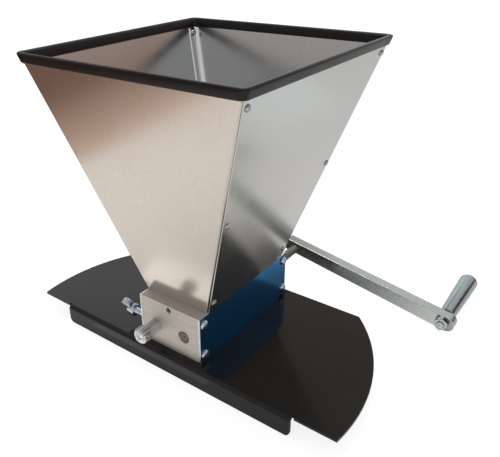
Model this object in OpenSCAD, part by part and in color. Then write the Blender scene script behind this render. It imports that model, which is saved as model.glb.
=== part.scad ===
// Two-roller malt mill. Fluted rollers turn between two end blocks, a sheet-metal hopper
// feeds them from above, and the base plate's folded flanges drop inside a bucket.
// Sizes are in millimetres. X runs along the base plate, Y along the rollers towards the
// crank, and Z is up. The origin is the middle of the discharge opening, in the plane of
// the base plate's underside.

/* [Rollers] */
// Outside diameter of both rollers
roller_d = 31.8; // [28:0.1:34]
// Length of a roller between its end faces
roller_len = 122.5; // [90:0.5:140]
// Gap from a roller's end face to the end block
roller_end_gap = 0.5; // [0.2:0.1:1.5]
// Gap from a roller to the side panel, with the rollers at their widest
roller_side_gap = 0.5; // [0.3:0.1:3]
// Height of the rollers above the base plate
roller_floor_gap = 5.3; // [4:0.1:9]
// Number of flutes round a roller
flute_count = 44; // [24:1:60]
// Depth of a flute
flute_depth = 0.6; // [0.3:0.1:1]
// Length of the plain land at each end of a roller
land_len = 3; // [1:0.5:8]
// Diameter of the roller shafts
shaft_d = 9.5; // [8:0.1:10.5]
// How far the drive shaft's front end lies below the block's outer face
shaft_sink = 0.5; // [0:0.1:1]
// Chamfer at the drive shaft's front end
shaft_chamfer = 1; // [0.3:0.1:2]
// Depth of the flat that the crank's set screw bears on
shaft_flat = 0.8; // [0.3:0.1:1.5]
// Gap between the rollers with the adjusters half way
gap_mid = 1.4; // [1.2:0.1:2.4]
// Offset of the idler's bore in an adjuster
eccentric = 1; // [0.4:0.1:1.1]
// Angle of the adjusters at rest, counted from the closest gap
gap_angle = 65; // [0:5:180]

/* [End blocks and side panels] */
// Thickness of an end block along the rollers
block_t = 11; // [10:0.5:18]
// Height of the throat, from the rollers' top to the end blocks' top
throat = 11; // [10:0.1:18]
// Chamfer along the end blocks' edges
block_chamfer = 0.5; // [0.2:0.1:1]
// Thickness of a side panel
panel_t = 2; // [1:0.5:4]
// Outside diameter of a drive bush
bush_d = 13; // [12:0.5:15]
// How far a bush lies below the block's outer face
bush_recess = 1.5; // [0.5:0.1:3]
// Thread diameter of the panel screws
panel_screw_d = 5; // [4:0.5:5]
// Length of a panel screw under its head
panel_screw_len = 11; // [8:0.5:12]
// Distance of a panel screw from the block's top or bottom
panel_screw_inset = 7.6; // [7:0.1:9]
// Thread diameter of the screw in each end block that pins the hopper's lip
lip_screw_d = 6; // [5:0.5:6]
// Diameter of that screw's point
lip_point_d = 3; // [2:0.5:3.5]
// Place of that screw, from the middle between the rollers
lip_screw_x = -1.5; // [-6:0.1:6]
// Depth of that screw below the end block's top
lip_screw_drop = 5.5; // [5:0.1:5.5]
// How far that screw's face lies below the block's outer face
lip_screw_sink = 3; // [1:0.5:4]

/* [Adjusters and lock screws] */
// Diameter of an adjuster's eccentric disc
ecc_d = 16; // [15.5:0.5:18]
// Thickness of the web that an adjuster's stem passes through
web_t = 3; // [3:0.5:5]
// Thickness of the eccentric disc behind its bore
ecc_floor = 1; // [0.5:0.1:1.5]
// Diameter of an adjuster's stem
stem_d = 12.5; // [10:0.5:14]
// Length of the stem outside the block
stem_len = 13.5; // [10:0.5:25]
// Diameter of the adjuster's knurled head
knob_d = 15.5; // [14.5:0.5:18]
// Length of the adjuster's head
knob_len = 10; // [8:0.5:20]
// Chamfer at the ends of the adjuster's head
knob_chamfer = 0.8; // [0.3:0.1:1.5]
// Thread diameter of a lock screw
lock_d = 6; // [4:0.5:6]
// Distance from the side panel to the lock screw's hub
lock_reach = 13; // [8:0.5:20]
// Diameter of the lock screw's hub
lock_hub_d = 10; // [7:0.5:11]
// Length of the lock screw's hub
lock_hub_len = 8; // [6:0.5:10]
// Span over the lock screw's wings
wing_span = 23; // [20:0.5:30]
// Thickness of a wing
wing_t = 5; // [2:0.5:6]
// Radius of a wing's tip
wing_r = 5; // [3:0.5:5]
// Angle of the wings at rest, below the level
wing_angle = 65; // [0:1:180]

/* [Base plate] */
// Radius of the disc that the plate is cut from
plate_r = 177; // [170:0.5:200]
// How far the disc's centre lies in front of the rollers' middle
plate_centre = 52.5; // [45:0.5:65]
// Margin of the plate in front of the end blocks
front_margin = 7.1; // [5:0.1:12]
// Margin of the plate behind the end blocks
back_margin = 3.6; // [3:0.1:12]
// Thickness of the plate
plate_t = 2.5; // [2:0.5:3.5]
// Height of the flanges, from the plate's top to their lower edge
flange_drop = 19.8; // [15:0.1:35]
// Length of the front flange
front_flange_len = 269; // [200:1:290]
// Length of the back flange
back_flange_len = 96; // [80:1:150]
// How far a flange stands out from the plate's straight edge
fold_reach = 3; // [1:0.5:3.5]
// Outside radius of a flange's fold
fold_r = 4.5; // [4:0.5:7]
// Radius of a flange's lower corners
flange_corner_r = 5; // [2:0.5:8]
// Width of the relief notch at each end of a fold
relief_w = 2; // [2:0.5:5]
// Depth of the relief notch, past the start of the fold
relief_past = 0.5; // [0.5:0.5:3]
// Distance of the discharge opening from the end blocks
opening_margin = 3; // [2:0.5:10]
// Width of the discharge opening across the rollers
opening_w = 60; // [40:1:64]
// Corner radius of the discharge opening
opening_r = 5; // [2:0.5:10]
// Thread diameter of the base screws
base_screw_d = 5; // [4:0.5:5]
// Head diameter of the base screws
base_head_d = 9; // [8:0.5:10]
// Length of a base screw in the end block
base_screw_len = 8; // [6:0.5:9]
// Distance of a base screw from the middle plane
base_screw_x = 14; // [10:0.5:22]

/* [Hopper] */
// Height of the hopper's sheets
hopper_h = 220.5; // [160:0.5:260]
// Outside width of the sheets at the rim, along X
rim_x = 219.5; // [180:0.5:260]
// Outside width of the sheets at the rim, along Y
rim_y = 223.3; // [180:0.1:260]
// Thickness of the hopper's sheets
sheet_t = 1; // [0.8:0.1:1.5]
// How far the side sheets' feet stand out from the side panels
hopper_overhang = 0.7; // [0:0.1:0.8]
// Setback of the side sheets from the corner bends
setback = 1.5; // [1:0.1:3]
// Width of the flanges behind the side sheets
seam_w = 12; // [10:0.5:16]
// Depth of the lips between the end blocks
lip = 8; // [5:0.5:8.5]
// Thread diameter of the hopper screws
hopper_screw_d = 3; // [2.5:0.5:4]
// Distance of a hopper screw from the corner edge
hopper_screw_inset = 6.5; // [6:0.1:8]
// Height of the lowest screw along the slope
hopper_screw_low = 13.5; // [10:0.5:30]
// Distance of the top screw from the rim along the slope
hopper_screw_top = 13.5; // [13:0.5:30]
// Share of the way up at which the middle screw sits
hopper_screw_mid = 0.48; // [0.3:0.01:0.7]
// Length of a hopper screw's end past its nut
hopper_screw_end = 0.5; // [0:0.1:1]
// Wall of the rim trim
trim_wall = 1.9; // [1.5:0.1:3]
// How far the rim trim reaches down the sheets
trim_cover = 6.5; // [5:0.5:8]
// Outside radius of the rim trim's corners
trim_r = 4; // [2:0.5:8]

/* [Crank] */
// Distance from the rear end block to the crank arm
crank_reach = 55.9; // [52:0.1:80]
// Distance from the shaft to the handle
arm_len = 174.6; // [120:0.1:200]
// Thickness of the arm
arm_t = 12; // [6:0.5:14]
// Height of the arm at the shaft
arm_hub_h = 13.6; // [12:0.1:14]
// Height of the arm at the handle
arm_end_h = 15.8; // [15:0.1:22]
// Height of the handle bolt above the arm's middle line
bolt_rise = 1.6; // [0:0.1:2]
// How far the middle of the arm's round end lies past the handle bolt
arm_past = 4; // [0:0.5:8]
// Step from the arm's flanks to its round end
boss_step = 0.4; // [0.2:0.1:1]
// Distance from the shaft's axis to the arm's square end
hub_past = 13; // [8:0.5:16]
// Thickness of the arm behind the shaft's end
hub_floor = 2; // [1.5:0.5:4]
// Thread diameter of the crank's set screw
set_screw_d = 5; // [4:0.5:6]
// Angle of the crank at rest, below the level
crank_angle = 9.75; // [0:0.05:360]
// Length of the handle grip
grip_len = 80; // [60:1:110]
// Diameter of the grip at the arm
grip_near_d = 15.5; // [15:0.5:19]
// Diameter of the grip at its free end
grip_far_d = 19.7; // [19.5:0.1:26]
// Rounding of the grip's free end
grip_round = 3.2; // [1:0.1:3.2]
// Diameter of the handle bolt
bolt_d = 8; // [6:0.5:8]
// Head diameter of the handle bolt
bolt_head_d = 13; // [11:0.5:13]
// Head height of the handle bolt
bolt_head_h = 5; // [3:0.5:8]
// Width of the handle nut across its flats
nut_flats = 13; // [11:0.5:14]
// Height of the handle nut
nut_h = 6.5; // [5:0.5:8]
// Length of the bolt's end that shows past the nut
bolt_end = 1.5; // [0:0.5:5]

/* [Fits] */
// Radial clearance of a turning fit
run_fit = 0.04; // [0.02:0.01:0.08]
// Radial clearance of a fixed screw or bush
screw_fit = 0.02; // [0.01:0.01:0.1]
// Clearance between parts that move past each other
move_gap = 0.3; // [0.2:0.1:0.5]

/* [Hidden] */
$fn = 64;
cut = 1;

// Places of the roller axes
spacing = roller_d + gap_mid;
drive_x = spacing / 2;
adjust_x = -spacing / 2;
axis_z = plate_t + roller_floor_gap + roller_d / 2;
idler_x = adjust_x + eccentric * cos(gap_angle);
idler_z = axis_z + eccentric * sin(gap_angle);

// Faces of the end blocks and side panels
inner_y = roller_len / 2 + roller_end_gap;
outer_y = inner_y + block_t;
block_y = inner_y + block_t / 2;
block_w = spacing + 2 * eccentric + roller_d + 2 * roller_side_gap;
block_h = roller_floor_gap + roller_d + throat;
block_top = plate_t + block_h;
panel_x = block_w / 2 + panel_t;
panel_screw_z = [plate_t + panel_screw_inset, block_top - panel_screw_inset];
lip_screw_z = block_top - lip_screw_drop;

// Adjusters and lock screws
ecc_t = block_t - web_t;
journal_in = ecc_t - ecc_floor - move_gap;
lock_y = block_y;
lock_tip_x = adjust_x - ecc_d / 2 - move_gap;
lock_hub_x = -panel_x - lock_reach;

// Base plate
front_edge = outer_y + front_margin;
back_edge = outer_y + back_margin;
fold_start = fold_reach - fold_r;
flange_z = plate_t - flange_drop;
opening_l = 2 * (inner_y - opening_margin);
base_head_h = (base_head_d - base_screw_d) / 2;

// Hopper
foot_x = panel_x + hopper_overhang;
foot_y = inner_y;
grow_x = (rim_x / 2 - foot_x) / hopper_h;
grow_y = (rim_y / 2 - foot_y) / hopper_h;
lean_x = atan(grow_x);
lean_y = atan(grow_y);
slope_x = hopper_h / cos(lean_x);
slope_y = hopper_h / cos(lean_y);
rim_z = block_top + hopper_h;
slot_z = rim_z + sheet_t * max(sin(lean_x), sin(lean_y)) + screw_fit;
sheet_x = sheet_t / cos(lean_x);
seam_top = slope_x - trim_cover / cos(lean_x) - cut;
screw_span = slope_x - hopper_screw_low - hopper_screw_top;
hopper_screw_up = [hopper_screw_low, hopper_screw_low + hopper_screw_mid * screw_span,
    slope_x - hopper_screw_top];
hopper_nut_h = 0.8 * hopper_screw_d;
hopper_nut_flats = 1.8 * hopper_screw_d;

// Crank
arm_y = outer_y + crank_reach;
shaft_y = arm_y + arm_t - hub_floor;
set_screw_y = (arm_y + shaft_y) / 2;
flat_x = shaft_d / 2 - shaft_flat;
grip_y = arm_y + arm_t + move_gap;
grip_end_y = grip_y + grip_len;
bolt_seat = bolt_head_h + 2;
bolt_head_y = grip_end_y - bolt_seat + move_gap;

// Frames of the sloping sheets: the outer face lies on local x = 0 or y = 0
module at_right() {
    translate([foot_x, 0, block_top]) rotate([0, lean_x, 0]) children();
}

module at_front() {
    translate([0, -foot_y, block_top]) rotate([lean_y, 0, 0]) children();
}

// Frame of the crank: local X runs along the arm
module at_crank() {
    translate([drive_x, 0, axis_z]) rotate([0, crank_angle, 0]) children();
}

// Turns a shape that rises along Z so that it points along Y or X
module along_y() {
    rotate([-90, 0, 0]) children();
}

module along_x() {
    rotate([0, 90, 0]) children();
}

// Draws its children on both sides of the plane x = 0 or y = 0
module both_x() {
    children();
    mirror([1, 0, 0]) children();
}

module both_y() {
    children();
    mirror([0, 1, 0]) children();
}

module rounded_rect(w, l, r) {
    square([w - 2 * r, l], center = true);
    square([w, l - 2 * r], center = true);
    for (x = [-1, 1], y = [-1, 1])
        translate([x * (w / 2 - r), y * (l / 2 - r)]) circle(r);
}

function chamfered(w, h, c) = [[-w / 2 + c, 0], [w / 2 - c, 0], [w / 2, c], [w / 2, h - c],
    [w / 2 - c, h], [-w / 2 + c, h], [-w / 2, h - c], [-w / 2, c]];

// Screw with a domed head: it stands on z = 0 and its shank points down
module pan_screw(d, len) {
    head_d = 1.8 * d;
    head_h = 0.6 * d;
    dome_r = (head_d * head_d / 4 + head_h * head_h) / (2 * head_h);
    translate([0, 0, -len]) cylinder(d = d, h = len + head_h / 2);
    difference() {
        intersection() {
            cylinder(d = head_d, h = head_h);
            translate([0, 0, head_h - dome_r]) sphere(dome_r);
        }
        for (turn = [0, 90])
            translate([0, 0, head_h]) rotate(turn) cube([head_d / 2, d / 5, head_h], center = true);
    }
}

// Headless screw with a hexagon socket in its top face, which lies on z = 0
module grub_screw(d, len) {
    difference() {
        translate([0, 0, -len]) cylinder(d = d, h = len);
        translate([0, 0, -min(d, len) / 2]) cylinder(d = 0.58 * d, h = d, $fn = 6);
    }
}

// Fold profile: x runs outwards from the fold's start, y up from the plate's underside
module fold_profile() {
    translate([-cut, 0]) square([cut, plate_t]);
    translate([0, plate_t - fold_r]) intersection() {
        difference() {
            circle(fold_r);
            circle(fold_r - plate_t);
        }
        square(fold_r);
    }
    translate([fold_r - plate_t, flange_z]) square([plate_t, flange_drop - fold_r]);
}

// What a flange's lower corners lose to their rounding
module flange_corners(len) {
    both_x() translate([len / 2 - flange_corner_r, 0, flange_z + flange_corner_r]) along_y()
        difference() {
            cube([flange_corner_r + cut, flange_corner_r + cut, 2 * fold_r + cut]);
            translate([0, 0, -cut]) cylinder(r = flange_corner_r, h = 2 * fold_r + 3 * cut);
        }
}

// Back flange of the given length, folded down at a straight edge of the plate
module flange(len, edge) {
    difference() {
        translate([-len / 2, edge + fold_start, 0]) rotate([90, 0, 90]) linear_extrude(len) fold_profile();
        translate([0, edge + fold_start - cut, 0]) flange_corners(len);
    }
}

// Notches beside the ends of the back flange
module reliefs(len, edge) {
    both_x() translate([len / 2, edge + fold_start - relief_past, -cut])
        cube([relief_w, relief_past - fold_start + cut, plate_t + 2 * cut]);
}

module base_plate() color("#2b2a29") {
    difference() {
        linear_extrude(plate_t) difference() {
            intersection() {
                translate([0, -plate_centre]) circle(plate_r, $fn = 180);
                translate([-plate_r, -front_edge]) square([2 * plate_r, front_edge + back_edge]);
            }
            rounded_rect(opening_w, opening_l, opening_r);
            translate([0, -front_edge]) square([front_flange_len, -2 * fold_start], center = true);
            translate([0, back_edge]) square([back_flange_len, -2 * fold_start], center = true);
        }
        mirror([0, 1, 0]) reliefs(front_flange_len, front_edge);
        reliefs(back_flange_len, back_edge);
        both_x() both_y() translate([base_screw_x, block_y, 0]) {
            translate([0, 0, -cut]) cylinder(d = base_screw_d + 2 * screw_fit, h = plate_t + 2 * cut);
            translate([0, 0, -cut]) cylinder(r1 = base_head_d / 2 + screw_fit + cut + move_gap,
                r2 = base_screw_d / 2 + screw_fit, h = base_head_h + cut + move_gap);
        }
    }
    mirror([0, 1, 0]) flange(front_flange_len, front_edge);
    flange(back_flange_len, back_edge);
}

// Countersunk screws, sunk a little below the plate's underside
module base_screws() color("#b9bcbd")
    both_x() both_y() translate([base_screw_x, block_y, move_gap]) difference() {
        union() {
            cylinder(d1 = base_head_d, d2 = base_screw_d, h = base_head_h);
            cylinder(d = base_screw_d, h = plate_t - move_gap + base_screw_len);
        }
        translate([0, 0, -cut]) cylinder(d = 0.6 * base_screw_d, h = base_head_h / 2 + cut, $fn = 6);
    }

// End block for the front, with the bores that both blocks share
module end_block() {
    difference() {
        translate([0, -inner_y, plate_t]) intersection() {
            rotate([90, 0, 0]) linear_extrude(block_t)
                polygon(chamfered(block_w, block_h, block_chamfer));
            linear_extrude(block_h) mirror([0, 1])
                polygon(chamfered(block_w, block_t, block_chamfer));
        }
        translate([drive_x, -outer_y - cut, axis_z]) along_y()
            cylinder(d = bush_d, h = block_t + 2 * cut);
        translate([adjust_x, -outer_y - cut, axis_z]) along_y()
            cylinder(r = stem_d / 2 + run_fit, h = block_t + 2 * cut);
        translate([adjust_x, -inner_y - ecc_t, axis_z]) along_y()
            cylinder(r = ecc_d / 2 + run_fit, h = ecc_t + cut);
        translate([-block_w / 2 - cut, -lock_y, axis_z]) along_x()
            cylinder(r = lock_d / 2 + run_fit, h = block_w / 2 + cut + adjust_x);
        both_x() for (z = panel_screw_z)
            translate([block_w / 2 + panel_t - panel_screw_len - cut, -block_y, z]) along_x()
                cylinder(r = panel_screw_d / 2 + screw_fit, h = panel_screw_len + 2 * cut);
        both_x() translate([base_screw_x, -block_y, plate_t - cut])
            cylinder(r = base_screw_d / 2 + screw_fit, h = base_screw_len + 2 * cut);
        translate([lip_screw_x, -outer_y - cut, lip_screw_z]) along_y() {
            cylinder(r = lip_screw_d / 2 + screw_fit, h = block_t + 2 * cut);
            cylinder(r1 = lip_screw_d / 2 + 2 * cut, r2 = lip_screw_d / 2, h = 2 * cut);
        }
    }
}

module front_end_block() color("#b5aea6") end_block();

module rear_end_block() color("#b5aea6")
    mirror([0, 1, 0]) end_block();

// Headless screws in the end blocks, whose points pin the hopper's lips
module lip_screws() color("#8f8c86")
    both_y() translate([lip_screw_x, lip_screw_sink - outer_y, lip_screw_z]) rotate([90, 0, 0]) {
        reach = block_t - lip_screw_sink + sheet_t;
        grub_screw(lip_screw_d, block_t - lip_screw_sink - move_gap);
        translate([0, 0, -reach]) cylinder(d = lip_point_d, h = sheet_t + 2 * move_gap);
    }

// Drive bush for the front block
module drive_bush()
    translate([drive_x, -outer_y + bush_recess, axis_z]) along_y() difference() {
        cylinder(r = bush_d / 2 - screw_fit, h = block_t - bush_recess);
        translate([0, 0, -cut]) cylinder(r = shaft_d / 2 + run_fit, h = block_t + 2 * cut);
    }

module front_drive_bush() color("#6b5a41") drive_bush();

module rear_drive_bush() color("#6b5a41") mirror([0, 1, 0]) drive_bush();

// Side panel on the right, with its screw holes
module side_panel() {
    difference() {
        translate([block_w / 2, -outer_y, plate_t]) cube([panel_t, 2 * outer_y, block_h]);
        both_y() for (z = panel_screw_z)
            translate([block_w / 2 - cut, block_y, z]) along_x()
                cylinder(r = panel_screw_d / 2 + screw_fit, h = panel_t + 2 * cut);
    }
}

module right_side_panel() color("#1f4f86") side_panel();

// The left panel also lets the lock screws through
module left_side_panel() color("#1f4f86")
    difference() {
        mirror([1, 0, 0]) side_panel();
        both_y() translate([-panel_x - cut, lock_y, axis_z]) along_x()
            cylinder(r = lock_d / 2 + move_gap, h = panel_t + 2 * cut);
    }

module side_panel_screws() color("#c9cccd")
    both_x() both_y() for (z = panel_screw_z)
        translate([panel_x, block_y, z]) along_x() pan_screw(panel_screw_d, panel_screw_len);

// Roller body with V flutes, centred on the origin along Y
module roller_body() {
    root_r = roller_d / 2 - flute_depth;
    fluted = roller_len - 2 * land_len;
    points = [for (i = [0:2 * flute_count - 1])
        let (r = i % 2 == 0 ? roller_d / 2 : root_r, a = 180 * i / flute_count)
        [r * cos(a), r * sin(a)]];
    translate([0, -fluted / 2, 0]) along_y() linear_extrude(fluted) polygon(points);
    translate([0, -roller_len / 2, 0]) along_y() cylinder(r = root_r, h = roller_len);
}

// The drive shaft's front end is chamfered and has a centre hole
module drive_roller() color("#9a9c9c")
    translate([drive_x, 0, axis_z]) difference() {
        union() {
            roller_body();
            translate([0, shaft_sink - outer_y, 0]) along_y() {
                cylinder(d1 = shaft_d - 2 * shaft_chamfer, d2 = shaft_d, h = shaft_chamfer);
                translate([0, 0, shaft_chamfer])
                    cylinder(d = shaft_d, h = outer_y + shaft_y - shaft_sink - shaft_chamfer);
            }
        }
        translate([0, shaft_sink - outer_y - cut / 2, 0]) along_y()
            cylinder(d1 = shaft_d / 3 + cut, d2 = 0, h = shaft_d / 3);
        rotate([0, crank_angle, 0]) translate([-shaft_d - flat_x, arm_y + cut, -shaft_d])
            cube([shaft_d, shaft_y, 2 * shaft_d]);
    }

module idler_roller() color("#9a9c9c")
    translate([idler_x, 0, idler_z]) {
        roller_body();
        translate([0, -inner_y - journal_in, 0]) along_y()
            cylinder(d = shaft_d, h = 2 * (inner_y + journal_in));
    }

// Adjuster for the front: eccentric disc in its pocket, stem through the web, knurled head
module adjuster() {
    difference() {
        translate([adjust_x, -inner_y, axis_z]) rotate([90, 0, 0]) {
            translate([0, 0, move_gap / 2]) cylinder(d = ecc_d, h = ecc_t - move_gap);
            cylinder(d = stem_d, h = block_t + stem_len + cut);
            translate([0, 0, block_t + stem_len]) {
                cylinder(d1 = knob_d - 2 * knob_chamfer, d2 = knob_d, h = knob_chamfer);
                translate([0, 0, knob_chamfer]) cylinder(d = knob_d, h = knob_len - 2 * knob_chamfer);
                translate([0, 0, knob_len - knob_chamfer])
                    cylinder(d1 = knob_d, d2 = knob_d - 2 * knob_chamfer, h = knob_chamfer);
            }
        }
        translate([idler_x, -inner_y - ecc_t + ecc_floor, idler_z]) along_y()
            cylinder(r = shaft_d / 2 + run_fit, h = ecc_t + cut);
    }
}

module front_adjuster() color("#cdd0d1") adjuster();

module rear_adjuster() color("#cdd0d1") mirror([0, 1, 0]) adjuster();

// One wing of a lock screw, in the plane of the screw's axis: x outwards along the axis
module wing() {
    tip_x = lock_hub_len;
    tip_y = wing_span / 2 - wing_r;
    root_y = lock_hub_d / 2 - wing_t / 4;
    lean = atan2(tip_x, tip_y);
    translate([tip_x, tip_y]) circle(wing_r);
    polygon([[0, 0], [0, root_y], [tip_x - wing_r * sin(lean + 45), tip_y + wing_r * cos(lean + 45)],
        [tip_x + wing_r * cos(lean), tip_y - wing_r * sin(lean)], [lock_hub_len / 2, 0]]);
}

// Winged lock screw for the front block: its tip bears on the adjuster's eccentric disc
module lock_screw() {
    translate([0, -lock_y, axis_z]) {
        translate([lock_hub_x, 0, 0]) along_x() cylinder(d = lock_d, h = lock_tip_x - lock_hub_x);
        translate([lock_hub_x - lock_hub_len, 0, 0]) along_x()
            cylinder(d1 = lock_hub_d - 2 * cut, d2 = lock_hub_d, h = lock_hub_len);
        translate([lock_hub_x, 0, 0]) rotate([-wing_angle, 0, 0]) mirror([1, 0, 0])
            translate([0, 0, -wing_t / 2]) linear_extrude(wing_t) both_y() wing();
    }
}

module front_lock_screw() color("#c3c8c9") lock_screw();

module rear_lock_screw() color("#c3c8c9") mirror([0, 1, 0]) lock_screw();

// Screw places on the right-hand side sheet: y follows the corner edge's slope
function edge_y(up) = foot_y + (rim_y / 2 - foot_y) * up / slope_x;

module at_hopper_screws()
    both_x() both_y() for (up = hopper_screw_up)
        at_right() translate([0, edge_y(up) - hopper_screw_inset, up]) along_x() children();

module hopper_holes()
    at_hopper_screws() translate([0, 0, -4 * sheet_t])
        cylinder(r = hopper_screw_d / 2 + screw_fit, h = 6 * sheet_t);

// Sheet on the right: a flat trapezium outside the seam flanges
module side_sheet() {
    foot = foot_y - setback;
    top = rim_y / 2 - setback;
    difference() {
        at_right() translate([-sheet_t, 0, 0]) rotate([90, 0, 90]) linear_extrude(sheet_t)
            polygon([[-foot, 0], [foot, 0], [top, slope_x], [-top, slope_x]]);
        hopper_holes();
    }
}

module hopper_right_panel() color("#a9aba7") side_sheet();

module hopper_left_panel() color("#a9aba7") mirror([1, 0, 0]) side_sheet();

// Seam flange behind the right sheet, bent in from the front sheet
module seam_flange() {
    low = cut;
    at_right() translate([-2 * sheet_t, 0, 0]) rotate([90, 0, 90]) linear_extrude(sheet_t)
        polygon([[-edge_y(low), low], [seam_w - edge_y(low), low],
            [seam_w - edge_y(seam_top), seam_top], [-edge_y(seam_top), seam_top]]);
}

// Front sheet with a seam flange down each side and a lip between the end blocks
module end_sheet() {
    foot = foot_x - sheet_x - sheet_t / 10;
    top = rim_x / 2 - sheet_x - sheet_t / 10;
    difference() {
        union() {
            at_front() translate([0, sheet_t, 0]) rotate([90, 0, 0]) linear_extrude(sheet_t)
                polygon([[-foot, 0], [foot, 0], [top, slope_y], [-top, slope_y]]);
            both_x() seam_flange();
            translate([-block_w / 2 + cut, -foot_y, block_top - lip])
                cube([block_w - 2 * cut, sheet_t, lip + sheet_t / 2]);
        }
        hopper_holes();
        translate([lip_screw_x, -foot_y - cut, lip_screw_z]) along_y()
            cylinder(r = lip_point_d / 2 + screw_fit, h = sheet_t + 2 * cut);
    }
}

module hopper_front_panel() color("#b8aea3") end_sheet();

module hopper_back_panel() color("#b8aea3") mirror([0, 1, 0]) end_sheet();

module hopper_screws() color("#c9cccd")
    at_hopper_screws() pan_screw(hopper_screw_d, 2 * sheet_t + hopper_nut_h + hopper_screw_end);

module hopper_nuts() color("#c0c3c3")
    at_hopper_screws() translate([0, 0, -2 * sheet_t - hopper_nut_h]) difference() {
        cylinder(d = hopper_nut_flats / cos(30), h = hopper_nut_h, $fn = 6);
        translate([0, 0, -cut]) cylinder(r = hopper_screw_d / 2 + screw_fit, h = hopper_nut_h + 2 * cut);
    }

// Rounded rectangle that follows the sheets' slope at height z, grown by an offset
function rim_ring(z, grow, r, steps = 8) =
    let (hx = foot_x + grow_x * (z - block_top) + grow / cos(lean_x),
        hy = foot_y + grow_y * (z - block_top) + grow / cos(lean_y))
    [for (corner = [0:3], i = [0:steps])
        let (a = 90 * corner + 90 * i / steps,
            sx = corner == 0 || corner == 3 ? 1 : -1,
            sy = corner < 2 ? 1 : -1)
        [sx * (hx - r) + r * cos(a), sy * (hy - r) + r * sin(a), z]];

// Tapered body between two heights, with rounded corners
module rim_body(low, high, grow, r) {
    bottom = rim_ring(low, grow, r);
    top = rim_ring(high, grow, r);
    n = len(bottom);
    polyhedron(concat(bottom, top), concat([[for (i = [0:n - 1]) i]], [[for (i = [n - 1:-1:0]) n + i]],
        [for (i = [0:n - 1]) [i, n + i, n + (i + 1) % n, (i + 1) % n]]));
}

// U-section trim over the sheets' top edges
module rim_trim() color("#161616")
    difference() {
        rim_body(rim_z - trim_cover, rim_z + trim_wall, trim_wall, trim_r);
        rim_body(rim_z - trim_cover - cut, rim_z + trim_wall + cut,
            -sheet_t - trim_wall, trim_r - trim_wall);
        difference() {
            rim_body(rim_z - trim_cover - cut, slot_z, screw_fit, sheet_t);
            rim_body(rim_z - trim_cover - 2 * cut, slot_z + cut, -sheet_t - screw_fit, sheet_t / 2);
        }
    }

// Outline of the arm: a tapered bar, square at the shaft and round past the handle bolt
module arm_outline() {
    h0 = arm_hub_h / 2;
    h1 = arm_end_h / 2 - boss_step;
    end = arm_len + arm_past;
    translate([end, -bolt_rise]) circle(d = arm_end_h);
    polygon([[-hub_past, -h0], [end, -bolt_rise - h1], [end, h1 - bolt_rise], [-hub_past, h0]]);
}

// Frame of the set screw: z points out of the arm's square end
module at_set_screw()
    at_crank() translate([0, set_screw_y, 0]) rotate([0, -90, 0]) children();

// Arm with a blind bore for the shaft and the set screw's hole in its square end
module crank_arm() color("#8d9390") difference() {
    at_crank() difference() {
        translate([0, arm_y + arm_t, 0]) rotate([90, 0, 0]) linear_extrude(arm_t) arm_outline();
        translate([0, arm_y - cut, 0]) along_y() cylinder(r = shaft_d / 2 + screw_fit,
            h = shaft_y - arm_y + cut + move_gap);
        translate([arm_len, arm_y - cut, 0]) along_y()
            cylinder(r = bolt_d / 2 + screw_fit, h = arm_t + 2 * cut);
    }
    at_set_screw() cylinder(r = set_screw_d / 2 + screw_fit, h = hub_past + cut);
}

module crank_set_screw() color("#55585a")
    at_set_screw() translate([0, 0, hub_past - cut / 2])
        grub_screw(set_screw_d, hub_past - cut / 2 - flat_x);

// Tapered grip that turns on the handle bolt, whose head lies in its free end
module handle_grip() color("#9fa3a2")
    at_crank() translate([arm_len, grip_y, 0]) along_y() rotate_extrude($fn = 96) difference() {
        union() {
            polygon([[0, 0], [grip_near_d / 2 - cut, 0], [grip_near_d / 2, cut],
                [grip_far_d / 2, grip_len - grip_round], [0, grip_len - grip_round]]);
            square([grip_far_d / 2 - grip_round, grip_len]);
            translate([grip_far_d / 2 - grip_round, grip_len - grip_round]) circle(grip_round);
        }
        translate([0, -cut]) square([bolt_d / 2 + 2 * run_fit, grip_len + 2 * cut]);
        translate([0, grip_len - bolt_seat]) square([bolt_head_d / 2 + move_gap, bolt_seat + cut]);
    }

module handle_bolt() color("#b7baba")
    at_crank() translate([arm_len, 0, 0]) difference() {
        union() {
            translate([0, arm_y - nut_h - bolt_end, 0]) along_y()
                cylinder(d = bolt_d, h = bolt_head_y - arm_y + nut_h + bolt_end + cut);
            translate([0, bolt_head_y, 0]) along_y() cylinder(d = bolt_head_d, h = bolt_head_h);
        }
        translate([0, bolt_head_y + bolt_head_h / 2, 0]) along_y()
            cylinder(d = 0.75 * bolt_d, h = bolt_head_h, $fn = 6);
    }

module handle_nut() color("#b7baba")
    at_crank() translate([arm_len, arm_y - nut_h, 0]) along_y() difference() {
        intersection() {
            cylinder(d = nut_flats / cos(30), h = nut_h, $fn = 6);
            cylinder(d1 = nut_flats, d2 = nut_flats + 4 * nut_h, h = nut_h);
        }
        translate([0, 0, -cut]) cylinder(r = bolt_d / 2 + screw_fit, h = nut_h + 2 * cut);
    }

base_plate();
front_end_block();
rear_end_block();
left_side_panel();
right_side_panel();
side_panel_screws();
base_screws();
front_drive_bush();
rear_drive_bush();
lip_screws();
drive_roller();
idler_roller();
front_adjuster();
rear_adjuster();
front_lock_screw();
rear_lock_screw();
hopper_front_panel();
hopper_back_panel();
hopper_left_panel();
hopper_right_panel();
hopper_screws();
hopper_nuts();
rim_trim();
crank_arm();
crank_set_screw();
handle_grip();
handle_bolt();
handle_nut();
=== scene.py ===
"""Looks of the malt mill: its finishes, formed sheets, turned pieces, castings and screws.

Lengths are in millimetres and become metres when a mesh is made. X runs along the base
plate, Y along the rollers towards the crank, and Z is up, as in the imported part.
"""

import logging
import math
from dataclasses import dataclass, replace
from enum import Enum
from typing import Mapping, Optional, Sequence, Union

import bmesh
import bpy
from mathutils import Matrix, Vector


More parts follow.
